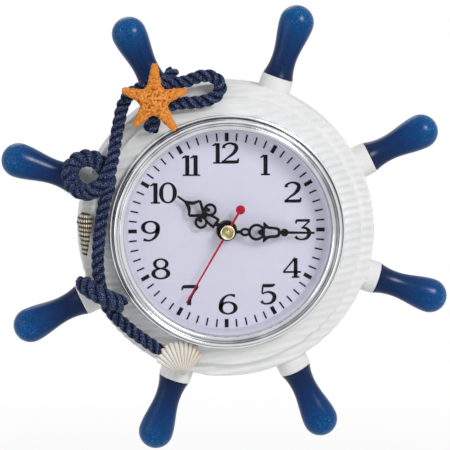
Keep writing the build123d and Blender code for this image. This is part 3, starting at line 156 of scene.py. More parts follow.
# %% [markdown]
# The camera
#
# The photograph looks at the clock from a little above and a little to its left, from almost two metres
# away. The lens is worked out from the width that the picture covers at the wheel, and a small shift puts
# the axis where it is seen.

# %% Camera
CAMERA_AZIMUTH = -4.0
CAMERA_ELEVATION = 8.7
CAMERA_DISTANCE = 1.8
FRAME_PIXELS = 450
PIXEL_SIZE = 0.54 * MM
WHEEL_MIDDLE_DEPTH = 12 * MM
AXIS_PIXEL = (224.0, 224.7)

camera_data = bpy.data.cameras.new("camera")
camera = placed("camera", camera_data)
aim = front(0, 0, 0)
swing, lift = radians(CAMERA_AZIMUTH), radians(CAMERA_ELEVATION)
back = Vector((sin(swing) * cos(lift), -cos(swing) * cos(lift), sin(lift)))
camera.location = aim + back * CAMERA_DISTANCE
camera.rotation_euler = (-back).to_track_quat("-Z", "Y").to_euler()
seen_width = FRAME_PIXELS * PIXEL_SIZE
camera_data.lens = camera_data.sensor_width * (CAMERA_DISTANCE - WHEEL_MIDDLE_DEPTH) / seen_width
camera_data.shift_x = (FRAME_PIXELS / 2 - AXIS_PIXEL[0]) / FRAME_PIXELS
camera_data.shift_y = (AXIS_PIXEL[1] - FRAME_PIXELS / 2) / FRAME_PIXELS
bpy.context.scene.camera = camera
print("lens", round(camera_data.lens, 1), "mm")


# %% [markdown]
# Finishes
#
# Each finish is a small tree of shader nodes around one Principled shader, and short helpers keep the
# trees readable. Noise takes the piece's own coordinates, so that a finish stays on its piece.

# %% Node helpers
def feed(made, name, value):
    """Set one of a node's inputs to a value, or lead a socket into it."""
    if isinstance(value, bpy.types.NodeSocket):
        made.id_data.links.new(value, made.inputs[name])
    else:
        made.inputs[name].default_value = value


def node(tree, kind, settings=None, **inputs):
    """Add a shader node. Inputs are named by their label or number, and are values or sockets."""
    made = tree.nodes.new("ShaderNode" + kind)
    for key, value in (settings or {}).items():
        setattr(made, key, value)
    for key, value in inputs.items():
        numbered = key.startswith("in") and key[2:].isdigit()
        feed(made, int(key[2:]) if numbered else key, value)
    return made


def maths(operation, first, *others):
    """The result of a sum on a socket and other sockets or values."""
    inputs = {f"in{number}": value for number, value in enumerate((first, *others))}
    return node(first.id_data, "Math", {"operation": operation}, **inputs).outputs[0]


def mapped(socket, low=0.0, high=1.0, to_low=0.0, to_high=1.0):
    """A socket's value moved from one range to another, and held inside it."""
    tree = socket.id_data
    return node(tree, "MapRange", in0=socket, in1=low, in2=high, in3=to_low, in4=to_high).outputs[0]


def blend(share, first, second):
    """A colour that goes from the first to the second as the share goes from 0 to 1."""
    return node(share.id_data, "Mix", {"data_type": "RGBA"}, in0=share, in6=first, in7=second).outputs[2]


def own_place(tree):
    """The place on the piece, in the piece's own coordinates."""
    return node(tree, "TexCoord").outputs["Object"]


def place_parts(tree, middle=(0, 0, 0)):
    """The place on the piece as X, Y and Z from a middle."""
    moved = node(tree, "VectorMath", {"operation": "SUBTRACT"}, in0=own_place(tree), in1=middle)
    return node(tree, "SeparateXYZ", in0=moved.outputs[0]).outputs


def stored(tree, name):
    """The value that a mesh stores at each of its points under a name."""
    return node(tree, "Attribute", {"attribute_name": name}).outputs["Fac"]


def grain(tree, scale, detail=3, vector=None):
    """Noise at a scale in features per metre."""
    place = vector or own_place(tree)
    made = node(tree, "TexNoise", Vector=place, Scale=scale, Detail=detail, Roughness=0.6)
    return made.outputs[0]


def ramp(factor, stops):
    """A colour ramp from (position, colour) stops."""
    made = node(factor.id_data, "ValToRGB", in0=factor)
    elements = made.color_ramp.elements
    while len(elements) < len(stops):
        elements.new(0.5)
    for element, (position, colour) in zip(elements, stops):
        element.position = position
        element.color = (*colour, 1)
    return made.outputs["Color"]


# %% Material helpers
ROUGHNESS_SWING = 0.08


def plain(name, colour, roughness, metallic=0.0, specular=0.5):
    """A material with one Principled shader, its node tree and that shader."""
    material = bpy.data.materials.new(name)
    material.use_nodes = True
    material.diffuse_color = (*colour, 1)
    shader = material.node_tree.nodes["Principled BSDF"]
    feed(shader, "Base Color", (*colour, 1))
    feed(shader, "Roughness", roughness)
    feed(shader, "Metallic", metallic)
    feed(shader, "Specular IOR Level", specular)
    return material, material.node_tree, shader


def colour_by(shader, factor, stops):
    """Colour a shader by a ramp."""
    feed(shader, "Base Color", ramp(factor, stops))


def bump(shader, height, distance, strength):
    """Small relief that only bends the light."""
    made = node(shader.id_data, "Bump", Strength=strength, Distance=distance, Height=height)
    feed(shader, "Normal", made.outputs["Normal"])


def speckled(name, dark, light, scale, roughness, metallic=0.0, relief=0.04 * MM, spread=0.18, **values):
    """A finish whose colour, gloss and relief vary finely from place to place."""
    material, tree, shader = plain(name, light, roughness, metallic, **values)
    height = grain(tree, scale)
    colour_by(shader, height, [(0.5 - spread, dark), (0.5 + spread, light)])
    gloss = mapped(height, to_low=roughness - ROUGHNESS_SWING, to_high=roughness + ROUGHNESS_SWING)
    feed(shader, "Roughness", gloss)
    bump(shader, height, relief, strength=0.6)
    return material


# %% [markdown]
# Rope
#
# The rope is three strands laid round each other, and each strand is itself a twist of yarns. A smooth
# NURBS line along the route's points gives the rope's middle. Each strand is a curve that circles that
# line, and its lobed section turns the other way as it goes, which shows as yarns. A single tube with a
# bump map would look like hose. Every point stores how far out it lies, and the finish paints shade into
# the furrows between strands and a little light on their crowns.

# %% Rope routes
MAIN_ROUTE = [
    (-36.2, -63.6, 29.8), (-47.2, -56.2, 29.8), (-55.0, -49.6, 29.6), (-62.0, -43.4, 28.9),
    (-66.8, -35.6, 28.8), (-68.9, -25.6, 29.8), (-69.9, -14.6, 29.8), (-69.0, -4.0, 29.8),
    (-67.9, 6.6, 29.8), (-66.2, 16.6, 29.8), (-63.6, 25.6, 29.8), (-64.4, 33.4, 30.2),
    (-69.0, 40.0, 28.8), (-76.6, 41.4, 27.0), (-83.0, 37.6, 26.0), (-84.6, 31.0, 26.0),
    (-81.4, 24.6, 26.6), (-76.0, 22.4, 29.8), (-70.6, 24.8, 35.2), (-65.6, 30.2, 38.2),
    (-62.4, 36.8, 37.2), (-60.8, 44.6, 32.8), (-59.4, 52.6, 28.8), (-57.6, 61.0, 27.0),
    (-56.0, 69.2, 27.0), (-52.0, 76.0, 30.4), (-44.8, 79.4, 32.8), (-37.0, 79.6, 32.8),
    (-30.0, 81.0, 31.2), (-22.6, 81.2, 29.6), (-15.4, 84.4, 28.6), (-8.2, 84.6, 28.0),
    (-3.0, 80.0, 28.6), (-5.4, 73.6, 29.6), (-12.6, 70.8, 29.8), (-20.4, 70.2, 29.8),
    (-28.0, 70.0, 29.8), (-35.0, 67.4, 29.8), (-39.6, 62.0, 29.8), (-41.2, 55.6, 29.8),
]
UPPER_HITCH_ROUTE = [
    (-28.6, 85.6, 17.0), (-30.6, 82.6, 22.6), (-36.2, 78.4, 25.6), (-42.8, 74.6, 25.4),
    (-47.6, 71.4, 23.8),
]
LOWER_HITCH_ROUTE = [
    (-78.2, -26.4, 26.8), (-75.2, -28.2, 32.8), (-69.8, -31.0, 37.4), (-62.6, -34.6, 37.0),
    (-56.4, -37.8, 31.8),
]
ROPE_RADIUS = 3.5 * MM
STRAND_COUNT = 3
STRAND_OFFSET = 0.53 * ROPE_RADIUS
STRAND_RADIUS = 0.5 * ROPE_RADIUS
STRAND_LAY = 14.5 * MM
STRAND_STEP = 0.75 * MM
LINE_RESOLUTION = 24


def rope_line(points):
    """Points along the smooth NURBS line of a route."""
    data = bpy.data.curves.new("rope_line", "CURVE")
    data.dimensions = "3D"
    data.resolution_u = LINE_RESOLUTION
    spline = data.splines.new("NURBS")
    spline.points.add(len(points) - 1)
    for point, place in zip(spline.points, points):
        point.co = (*front(*place), 1)
    spline.order_u = 3
    spline.use_endpoint_u = True
    line = placed("rope_line", data)
    bpy.context.view_layer.update()
    mesh = bpy.data.meshes.new_from_object(line)
    spots = [v.co.copy() for v in mesh.vertices]
    bpy.data.objects.remove(line)
    bpy.data.meshes.remove(mesh)
    return spots


def even_steps(spots, step):
    """The same line with its points an even step apart."""
    even = [spots[0]]
    left = step
    for a, b in zip(spots, spots[1:]):
        run = (b - a).length
        along = left
        while along <= run:
            even.append(a.lerp(b, along / run))
            along += step
        left = along - run
    return even


# %% Strand section
YARN_COUNT = 7
YARN_DEPTH = 0.12
YARN_LAY = 8 * MM
SECTION_POINTS = 28

section_data = bpy.data.curves.new("strand_section", "CURVE")
section_data.dimensions = "2D"
section_spline = section_data.splines.new("POLY")
section_spline.points.add(SECTION_POINTS - 1)
for i, point in enumerate(section_spline.points):
    turn = 2 * pi * i / SECTION_POINTS
    reach = STRAND_RADIUS * (1 - YARN_DEPTH + YARN_DEPTH * abs(cos(YARN_COUNT * turn / 2)))
    point.co = (reach * cos(turn), reach * sin(turn), 0, 1)
section_spline.use_cyclic_u = True
strand_section = placed("strand_section", section_data)

# %% Rope finish
rope_fibre, tree, shader = plain("rope_fibre", (0.022, 0.032, 0.115), roughness=0.85, specular=0.06)
fibre = grain(tree, scale=1500)
# Painted shade: points near the rope's middle, in the furrows between strands, are darkened and the crowns
# lightened a little.
painted_strand_shading = mapped(stored(tree, "crest"), low=0.65, high=1.0, to_low=-0.16, to_high=0.07)
colour_by(shader, maths("ADD", fibre, painted_strand_shading), [
    (0.4, (0.002, 0.003, 0.012)),
    (0.5, (0.012, 0.021, 0.066)),
    (0.58, (0.04, 0.06, 0.145)),
    (0.7, (0.15, 0.19, 0.33)),
])
feed(shader, "Sheen Weight", 0.1)
feed(shader, "Sheen Roughness", 0.5)
bump(shader, fibre, distance=0.25 * MM, strength=0.8)

# %% Lay the ropes
FRAY_STEPS = 10
LOOP_MIDDLE = front(-75.5, 32.0, 28.0)
LOOP_RADIUS = 11 * MM
LOOP_FADE = 2
END_SHARE = 0.7
END_GROWTH = 0.15


def lay_rope(name, route, fatness=1.0, tail_fatness=1.0, loop_fatness=1.0):
    """Three strands laid round a route, as one mesh piece that replaces the plain rope of that name."""
    spots = even_steps(rope_line(route), STRAND_STEP)
    last = len(spots) - 1
    ahead = [(b - a).normalized() for a, b in zip(spots, spots[1:])]
    ahead.append(ahead[-1])
    side = ahead[0].orthogonal().normalized()
    sides, swells = [], []
    middles = kdtree.KDTree(len(spots))
    for i, (spot, direction) in enumerate(zip(spots, ahead)):
        side = (side - direction * side.dot(direction)).normalized()
        sides.append(side.copy())
        tail = max(0, 1 - (last - i) / FRAY_STEPS)
        away = (spot - LOOP_MIDDLE).length / LOOP_RADIUS
        loop = max(0, min(1, 1 + LOOP_FADE * (1 - away)))
        swells.append(fatness + (tail_fatness - 1) * tail + (loop_fatness - 1) * loop)
        middles.insert(spot, i)
    middles.balance()
    data = bpy.data.curves.new(name, "CURVE")
    data.dimensions = "3D"
    data.bevel_mode = "OBJECT"
    data.bevel_object = strand_section
    data.use_fill_caps = True
    for strand in range(STRAND_COUNT):
        spline = data.splines.new("POLY")
        spline.points.add(last)
        for i, point in enumerate(spline.points):
            turn = 2 * pi * (strand / STRAND_COUNT + i * STRAND_STEP / STRAND_LAY)
            reach = STRAND_OFFSET * swells[i]
            other = ahead[i].cross(sides[i])
            point.co = (*(spots[i] + reach * (cos(turn) * sides[i] + sin(turn) * other)), 1)
            point.tilt = -2 * pi * i * STRAND_STEP / YARN_LAY
            from_end = min(i, last - i)
            point.radius = swells[i] * min(1, END_SHARE + END_GROWTH * from_end)
    choose(placed(name, data))
    bpy.ops.object.convert(target="MESH")
    rope = bpy.context.object
    # How far out each point lies, which the finish uses to paint shade into the furrows.
    crests = rope.data.attributes.new("crest", "FLOAT", "POINT")
    for vertex in rope.data.vertices:
        i, away = middles.find(vertex.co)[1:]
        crests.data[vertex.index].value = away / (ROPE_RADIUS * swells[i])
    length = sum((b - a).length for a, b in zip(spots, spots[1:]))
    print(name, "is", round(length / MM), "mm long")
    return settle(rope, name + "_laid", rope_fibre, smooth=55, replaced=[name])


lay_rope("rope_main", MAIN_ROUTE, tail_fatness=1.35, loop_fatness=1.36)
lay_rope("rope_hitch_upper", UPPER_HITCH_ROUTE, fatness=1.12)
lay_rope("rope_hitch_lower", LOWER_HITCH_ROUTE, fatness=1.4)
bpy.data.objects.remove(strand_section)


# %% [markdown]
# Wheel ring
#
# The ring is painted white over a softly ridged surface, so the ridges have to be real shape: light rakes
# over them. The frame's ring is copied, its triangles are merged and remade as small even squares, and the
# points of its front and rim are pushed in by a slightly wavy stripe pattern that runs across the wheel.

# %% Reshaping helpers
def merged_copy(name):
    """A welded copy of a frame node, ready to be reshaped."""
    piece = copy_of(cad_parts[name])
    piece.parent = None
    for key in list(piece.keys()):
        del piece[key]
    choose(piece)
    bpy.ops.mesh.customdata_custom_splitnormals_clear()
    weld(piece, gap=0.002 * MM)
    return piece


def remade(piece, voxel, smoothing):
    """Even small faces over the whole piece, eased by a few rounds of smoothing."""
    choose(piece)
    piece.data.remesh_voxel_size = voxel
    piece.data.remesh_voxel_adaptivity = 0
    bpy.ops.object.voxel_remesh()
    return modified(piece, "SMOOTH", factor=0.5, iterations=smoothing)


def push(piece, how_far):
    """Move each point along its normal, by a distance that its place and normal give."""
    places = [(vertex.co.copy(), vertex.normal.copy()) for vertex in piece.data.vertices]
    for vertex, (place, normal) in zip(piece.data.vertices, places):
        vertex.co = place + normal * how_far(place, normal)


# %% Ring with ridges
RIDGE_PITCH = 4.3 * MM
RIDGE_DEPTH = 1.1 * MM
RIDGE_SHARPNESS = 1.5
RIDGE_RIM_SHARE = 0.4
RIDGE_TILT = 0.16
RIDGE_WAVE = 4.6 * MM
RIDGE_WAVE_SCALE = 21.0
RIDGE_FADE_SCALE = 17.0
RIDGE_FADE_START = Vector((3, 1, 2))
RIDGE_FADE_MIDDLE = 0.8
RIDGE_FADE_SWING = 0.6
RIDGE_FADE_LEAST = 0.35
RING_BACK_SKIN = 3 * MM
RING_HOLE_SKIN = 60.6 * MM
RING_EDGE = 80.4 * MM

ring_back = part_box("wheel_ring")[1].y


def ridge_push(place, normal):
    """Depth of the ridges at a place of the ring, none on the back, in the hole and on the bosses."""
    reach = hypot(place.x, place.z - AXIS_Z)
    if place.y > ring_back - RING_BACK_SKIN or not RING_HOLE_SKIN < reach < RING_EDGE:
        return 0
    drift = noise.noise(place * RIDGE_WAVE_SCALE) * RIDGE_WAVE
    run = place.z - RIDGE_TILT * place.x + drift
    patch = noise.noise(place * RIDGE_FADE_SCALE + RIDGE_FADE_START)
    fade = max(RIDGE_FADE_LEAST, min(RIDGE_FADE_MIDDLE + RIDGE_FADE_SWING * patch, 1))
    crest = (0.5 + 0.5 * sin(2 * pi * run / RIDGE_PITCH)) ** RIDGE_SHARPNESS
    outward = max(0, (normal.x * place.x + normal.z * (place.z - AXIS_Z)) / reach)
    depth = RIDGE_DEPTH * (1 - (1 - RIDGE_RIM_SHARE) * outward)
    return depth * (crest * fade - 1)


ring_paint, tree, shader = plain("wheel_paint", (0.84, 0.84, 0.84), roughness=0.62, specular=0.06)
wash = grain(tree, scale=38, detail=4)
colour_by(shader, wash, [
    (0.3, (0.79, 0.80, 0.815)),
    (0.55, (0.855, 0.855, 0.85)),
    (0.75, (0.875, 0.875, 0.87)),
])
bump(shader, grain(tree, scale=900), distance=0.05 * MM, strength=0.5)

ring = remade(merged_copy("wheel_ring"), voxel=0.78 * MM, smoothing=6)
push(ring, ridge_push)
settle(ring, "ring_ridged", ring_paint, smooth=70, replaced=["wheel_ring"])


# %% [markdown]
# Turned pieces
#
# Handles, bezel, glass, dial ring and cap are all round, so each is drawn as half a section and spun about
# its axis, as on a lathe. The section starts as one point that is extruded from place to place.

# %% Spin helper
def turned(section, axis_point, axis, steps):
    """Spin a section, given as points of the frame, once round an axis."""
    deselect()
    bpy.ops.mesh.primitive_plane_add(size=MM, location=(0, 0, 0))
    piece = bpy.context.object
    bpy.ops.object.mode_set(mode="EDIT")
    bpy.ops.mesh.merge(type="CENTER")
    bpy.ops.transform.translate(value=section[0])
    for a, b in zip(section, section[1:]):
        bpy.ops.mesh.extrude_vertices_move(TRANSFORM_OT_translate={"value": b - a})
    bpy.ops.mesh.select_all(action="SELECT")
    bpy.ops.mesh.spin(steps=steps, angle=2 * pi, center=axis_point, axis=axis)
    bpy.ops.mesh.select_all(action="SELECT")
    bpy.ops.mesh.remove_doubles(threshold=0.005 * MM)
    bpy.ops.mesh.normals_make_consistent(inside=False)
    bpy.ops.object.mode_set(mode="OBJECT")
    return piece


def dial_turned(section, steps=256):
    """Spin (radius, height) points in millimetres about the wheel's axis."""
    return turned([front(r, 0, h) for r, h in section], front(0, 0, 0), (0, 1, 0), steps)


def arc(centre, across, up, start, end, count):
    """Points of an elliptic arc in a section, from one angle to another."""
    places = []
    for i in range(count + 1):
        angle = radians(start + (end - start) * i / count)
        places.append((centre[0] + across * cos(angle), centre[1] + up * sin(angle)))
    return places


# %% [markdown]
# Handles
#
# Each handle swells from a narrow neck to a bulb. The paint is a dark blue that brightens towards the
# bulb, brushed on so that thin streaks run along the handle, and it is worn in small flecks. The streaks
# come from noise on the bearing round the wheel and the distance from its axis.

# %% Handle paint
STREAK_STRETCH = (0.1, 1.0, 0.12)
STREAK_SHARE = 0.42
PAINT_SCALE = 0.7


def around_axis(tree):
    """Distance from the wheel's axis and bearing round it, for shaders."""
    parts = place_parts(tree, (0, 0, AXIS_Z))
    flat = node(tree, "CombineXYZ", X=parts["X"], Z=parts["Z"])
    reach = node(tree, "VectorMath", {"operation": "LENGTH"}, in0=flat.outputs[0]).outputs["Value"]
    return reach, maths("ARCTAN2", parts["Z"], parts["X"])


handle_paint, tree, shader = plain("handle_paint", (0.01, 0.06, 0.26), roughness=0.3, specular=0.14)
distance, bearing = around_axis(tree)
depth = place_parts(tree)["Y"]
brush = node(tree, "CombineXYZ", X=bearing, Y=depth, Z=distance).outputs[0]
stretched = node(tree, "VectorMath", {"operation": "MULTIPLY"}, in0=brush, in1=STREAK_STRETCH)
streak = grain(tree, scale=900, vector=stretched.outputs[0])
along = mapped(distance, low=87 * MM, high=126 * MM)
brushed = maths("ADD", along, maths("MULTIPLY_ADD", streak, STREAK_SHARE, -STREAK_SHARE / 2))
flecks = mapped(grain(tree, scale=1300, detail=2), low=0.58, high=0.68, to_high=0.6)
worn = maths("MULTIPLY_ADD", flecks, along, brushed)
colour_by(shader, maths("MULTIPLY", worn, PAINT_SCALE), [
    (0.03, (0.003, 0.017, 0.072)),
    (0.29, (0.002, 0.028, 0.12)),
    (0.5, (0.001, 0.048, 0.185)),
    (0.7, (0.001, 0.08, 0.27)),
    (1.0, (0.03, 0.3, 0.6)),
])
feed(shader, "Roughness", mapped(grain(tree, scale=420, detail=4), to_low=0.16, to_high=0.34))
bump(shader, streak, distance=0.06 * MM, strength=0.5)

# %% Handles
HANDLE_START = 86.8
HANDLE_LENGTH = 40.0
HANDLE_STATIONS = [(0.0, 7.9, -0.1), (0.35, 8.3, -0.35), (10.4, 6.7, 0.0), (30.7, 9.3, 0.0)]
HANDLE_HEIGHT = 13.0
FIRST_HANDLE_ANGLE = 26.1
HANDLE_COUNT = 8
CURVE_STEPS = 14


def eased(start, end, count):
    """Points of a smooth stretch between two (along, radius, slope) stations."""
    third = (end[0] - start[0]) / 3
    lead = (start[0] + third, start[1] + third * start[2])
    trail = (end[0] - third, end[1] - third * end[2])
    return interpolate_bezier(start[:2], lead, trail, end[:2], count + 1)[:-1]


handle_section = [(0.0, 0.0)]
for start, end in zip(HANDLE_STATIONS, HANDLE_STATIONS[1:]):
    handle_section += eased(start, end, CURVE_STEPS)
bulb_at, bulb_radius = HANDLE_STATIONS[-1][:2]
handle_section += arc((bulb_at, 0), HANDLE_LENGTH - bulb_at, bulb_radius, 90, 0, CURVE_STEPS)
handle_points = [Vector(((HANDLE_START + x) * MM, 0, y * MM)) for x, y in handle_section]
first_handle = turned(handle_points, (0, 0, 0), (1, 0, 0), steps=64)
for number in range(1, HANDLE_COUNT + 1):
    handle = copy_of(first_handle)
    angle = radians(FIRST_HANDLE_ANGLE + (number - 1) * 360 / HANDLE_COUNT)
    handle.matrix_world = Matrix.Translation(front(0, 0, HANDLE_HEIGHT)) @ Matrix.Rotation(-angle, 4, "Y")
    turned_name, solid_name = f"handle_turned_{number}", f"handle_{number}"
    settle(handle, turned_name, handle_paint, smooth=60, replaced=[solid_name])
bpy.data.objects.remove(first_handle)


# %% [markdown]
# Bezel, glass and dial ring
#
# The bezel is thin polished metal with a bead at its foot, a rounded ridge and a trough inside it.
# Polished metal shows only what it mirrors, so the section needs true curves and small steps that catch
# light and dark lines. A tone by radius also paints reflection into the metal's colour as dark and light
# bands, more strongly on the right than on the left. The glass is a thin dome, and a pale ring slopes from
# it down to the dial.

# %% Bezel
PAINTED_REFLECTION_RIGHT_SHARE = 0.14

bezel_metal, tree, shader = plain("polished_metal", (0.80, 0.81, 0.83), roughness=0.13, metallic=1.0)
feed(shader, "Roughness", mapped(grain(tree, scale=300), to_low=0.08, to_high=0.2))
reach, bearing = around_axis(tree)
rightward = maths("COSINE", bearing)
turn = node(tree, "CombineXYZ", X=maths("SINE", bearing), Y=rightward).outputs[0]
# Painted reflection: dark and light bands by radius stand in for what the polished bezel mirrors.
painted_reflection_patches = maths("MULTIPLY_ADD", rightward, PAINTED_REFLECTION_RIGHT_SHARE, grain(tree, scale=2.2, detail=2, vector=turn))
tone = ramp(mapped(reach, low=56 * MM, high=64 * MM), [
    (0.1, (0.56, 0.57, 0.60)),
    (0.24, (0.40, 0.41, 0.43)),
    (0.33, (0.18, 0.18, 0.20)),
    (0.46, (0.34, 0.34, 0.36)),
    (0.54, (0.78, 0.79, 0.80)),
    (0.66, (0.44, 0.45, 0.47)),
    (0.74, (0.14, 0.14, 0.15)),
    (0.82, (0.80, 0.81, 0.82)),
])
# The painted reflection bands show more strongly on the right and fade towards a plain metal tone elsewhere.
share = mapped(painted_reflection_patches, low=0.35, high=0.65, to_low=0.25, to_high=0.95)
feed(shader, "Base Color", blend(share, (0.72, 0.73, 0.75, 1), tone))

bezel_section = [(61.45, 26.05), (63.35, 26.05)]
bezel_section += arc((62.65, 27.65), 0.75, 0.75, 0, 180, 10)
bezel_section += [(61.75, 27.5), (61.6, 28.4)]
bezel_section += arc((60.4, 31.4), 1.15, 2.1, 0, 120, 12)
bezel_section += [(59.5, 32.9)]
bezel_section += arc((58.8, 32.9), 0.7, 0.55, 0, -180, 8)
bezel_section += arc((57.3, 32.9), 0.75, 0.45, 0, 150, 8)
bezel_section += [(56.15, 32.75), (56.05, 31.95), (57.9, 31.95), (57.95, 27.15), (61.35, 27.15)]
bezel_section += bezel_section[:1]
bezel = dial_turned(bezel_section, steps=320)
settle(bezel, "bezel_spun", bezel_metal, smooth=32, replaced=["bezel"])

# %% Glass and dial ring
GLASS_RADIUS = 56.0
GLASS_EDGE_RADIUS = 57.6
GLASS_EDGE_TOP = 31.8
GLASS_EDGE_FOOT = 30.05
GLASS_DOME = 1.0
GLASS_WALL = 1.8
GLASS_RINGS = 24

glass, tree, shader = plain("clear_glass", (0.97, 0.98, 1.0), roughness=0.02)
feed(shader, "Transmission Weight", 1.0)
feed(shader, "IOR", 1.45)
feed(shader, "Alpha", 0.014)
glass_top = [
    (GLASS_RADIUS * i / GLASS_RINGS, GLASS_EDGE_TOP + GLASS_DOME * (1 - (i / GLASS_RINGS) ** 2))
    for i in range(GLASS_RINGS + 1)
]
glass_edge = [(GLASS_EDGE_RADIUS, GLASS_EDGE_TOP), (GLASS_EDGE_RADIUS, GLASS_EDGE_FOOT)]
glass_under = [(r, h - GLASS_WALL) for r, h in reversed(glass_top)]
lens = dial_turned(glass_top + glass_edge + glass_under, steps=160)
settle(lens, "glass_domed", glass, smooth=60, replaced=["lens"])

FINE_RELIEF = 0.01 * MM
ring_print = speckled(
    "dial_ring_paint", (0.63, 0.62, 0.72), (0.69, 0.68, 0.78), 700, 0.5, relief=FINE_RELIEF
)
slope_section = [(53.6, 20.65), (56.45, 20.65), (56.45, 29.95), (55.35, 29.95)]
slope_section += arc((55.9, 26.0), 1.6, 3.9, 110, 175, 8)
slope_section += [(53.6, 21.3), (53.6, 20.65)]
slope = dial_turned(slope_section)
settle(slope, "dial_ring_spun", ring_print, replaced=["dial_ring"])


# %% [markdown]
# Dial print
#
# The dial is a pale printed sheet with sixty ticks and upright serif numerals. Ink has almost no
# thickness, so every mark is a film a few hundredths of a millimetre thick. The numerals are drawn here as
# pen strokes that swell and thin, since no font is loaded: each stroke is a smooth line of places with a
# width at each.

# %% Ticks
DIAL_FACE = 20.6
INK_FILM = 0.05
TICK_OUTER = 52.9
TICK_LENGTH = 4.3
TICK_WIDTH = 0.86
HOUR_TICK_LENGTH = 4.6
HOUR_TICK_WIDTH = 2.1
MINUTES = 60

ink = speckled(
    "dial_ink", (0.006, 0.006, 0.008), (0.014, 0.014, 0.018), 1500, 0.6, relief=0.004 * MM, specular=0.08
)
dial_sheet = speckled(
    "dial_sheet", (0.68, 0.675, 0.81), (0.72, 0.715, 0.845), 90, 0.55,
    relief=0.006 * MM, spread=0.3, specular=0.25,
)
cover(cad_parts["dial"], dial_sheet)


def film(corners):
    """A flat patch of ink from places on the dial."""
    return [front(x, y, DIAL_FACE + INK_FILM) for x, y in corners]


def sheet_piece(name, patches, thickness):
    """One thin piece from many patches, each a list of a quad's corner points."""
    mesh = bpy.data.meshes.new(name)
    points, faces = [], []
    for patch in patches:
        faces.append(range(len(points), len(points) + len(patch)))
        points += patch
    mesh.from_pydata(points, [], faces)
    piece = placed(name, mesh)
    weld(piece, gap=0.0005 * MM)
    return modified(piece, "SOLIDIFY", thickness=thickness, offset=-1)


def ink_piece(name, patches):
    """A film of ink on the dial."""
    sheet = sheet_piece(name, patches, INK_FILM * MM)
    return settle(sheet, name, ink, smooth=30)


ticks = []
for minute in range(MINUTES):
    hour = minute % 5 == 0
    width = HOUR_TICK_WIDTH if hour else TICK_WIDTH
    low = TICK_OUTER - (HOUR_TICK_LENGTH if hour else TICK_LENGTH)
    angle = radians(90 - minute * 360 / MINUTES)
    out, across = Vector((cos(angle), sin(angle))), Vector((sin(angle), -cos(angle)))
    corners = [(low, -1), (low, 1), (TICK_OUTER, 1), (TICK_OUTER, -1)]
    ticks.append(film([tuple(out * r + across * side * width / 2) for r, side in reversed(corners)]))
ink_piece("dial_ticks", ticks)

# %% Pen strokes of the digits
ROUND_POINTS = 12
ROUND_TURNS = [2 * pi * i / ROUND_POINTS for i in range(ROUND_POINTS + 1)]


def oval(x, y, across, up, thick=0.175, thin=0.055):
    """A closed pen stroke round an oval, thick at its sides."""
    places = []
    for turn in ROUND_TURNS:
        width = thin + (thick - thin) * cos(turn) ** 2
        places.append((x + (across - width / 2) * cos(turn), y + (up - width / 2) * sin(turn), width))
    return places


def reversed_stroke(stroke):
    """The same stroke turned half a turn about the middle of a numeral."""
    return [(-x, 1 - y, width) for x, y, width in stroke]


SIX = [
    oval(0.0, 0.31, 0.405, 0.31),
    [(-0.32, 0.31, 0.17), (-0.305, 0.56, 0.155), (-0.18, 0.81, 0.1), (0.05, 0.95, 0.06), (0.3, 0.9, 0.12)],
]
DIGITS = {
    "0": [oval(0.0, 0.5, 0.38, 0.5)],
    "1": [
        [(0.03, 0.02, 0.17), (0.03, 0.98, 0.17)],
        [(-0.2, 0.84, 0.03), (-0.02, 0.95, 0.1)],
        [(-0.17, 0.025, 0.05), (0.23, 0.025, 0.05)],
    ],
    "2": [
        [(-0.27, 0.73, 0.16), (-0.26, 0.85, 0.09), (-0.04, 0.965, 0.06), (0.22, 0.88, 0.13),
         (0.26, 0.69, 0.17), (0.12, 0.46, 0.12), (-0.14, 0.24, 0.06), (-0.33, 0.06, 0.05)],
        [(-0.35, 0.065, 0.12), (0.24, 0.065, 0.13), (0.32, 0.1, 0.1), (0.36, 0.24, 0.03)],
    ],
    "3": [
        [(-0.29, 0.79, 0.03), (-0.26, 0.93, 0.09), (-0.12, 0.95, 0.1), (0.31, 0.95, 0.1)],
        [(0.3, 0.93, 0.06), (0.0, 0.6, 0.05)],
        [(-0.06, 0.6, 0.05), (0.16, 0.56, 0.1), (0.29, 0.35, 0.17), (0.19, 0.11, 0.12), (0.0, 0.03, 0.06),
         (-0.2, 0.06, 0.07), (-0.31, 0.17, 0.13)],
    ],
    "4": [
        [(0.14, 0.02, 0.16), (0.14, 0.95, 0.15)],
        [(0.12, 0.97, 0.08), (-0.13, 0.62, 0.055), (-0.38, 0.29, 0.05)],
        [(-0.4, 0.275, 0.07), (0.37, 0.275, 0.07)],
        [(-0.03, 0.025, 0.05), (0.31, 0.025, 0.05)],
    ],
    "5": [
        [(-0.24, 0.92, 0.14), (0.14, 0.92, 0.13), (0.29, 0.98, 0.04)],
        [(-0.23, 0.95, 0.06), (-0.27, 0.53, 0.05)],
        [(-0.27, 0.52, 0.05), (0.0, 0.61, 0.07), (0.23, 0.49, 0.15), (0.26, 0.28, 0.17), (0.13, 0.09, 0.1),
         (-0.08, 0.03, 0.06), (-0.22, 0.07, 0.08), (-0.3, 0.17, 0.13)],
    ],
    "6": SIX,
    "7": [
        [(-0.35, 0.75, 0.03), (-0.31, 0.9, 0.09), (-0.19, 0.93, 0.14), (0.35, 0.93, 0.13)],
        [(0.34, 0.91, 0.05), (0.13, 0.62, 0.09), (-0.02, 0.32, 0.15), (-0.05, 0.02, 0.18)],
    ],
    "8": [oval(0.0, 0.745, 0.33, 0.255, 0.14), oval(0.0, 0.27, 0.405, 0.27)],
    "9": [reversed_stroke(stroke) for stroke in SIX],
}

# %% From strokes to patches
STROKE_STEPS = 9
CLOSED_GAP = 0.0001


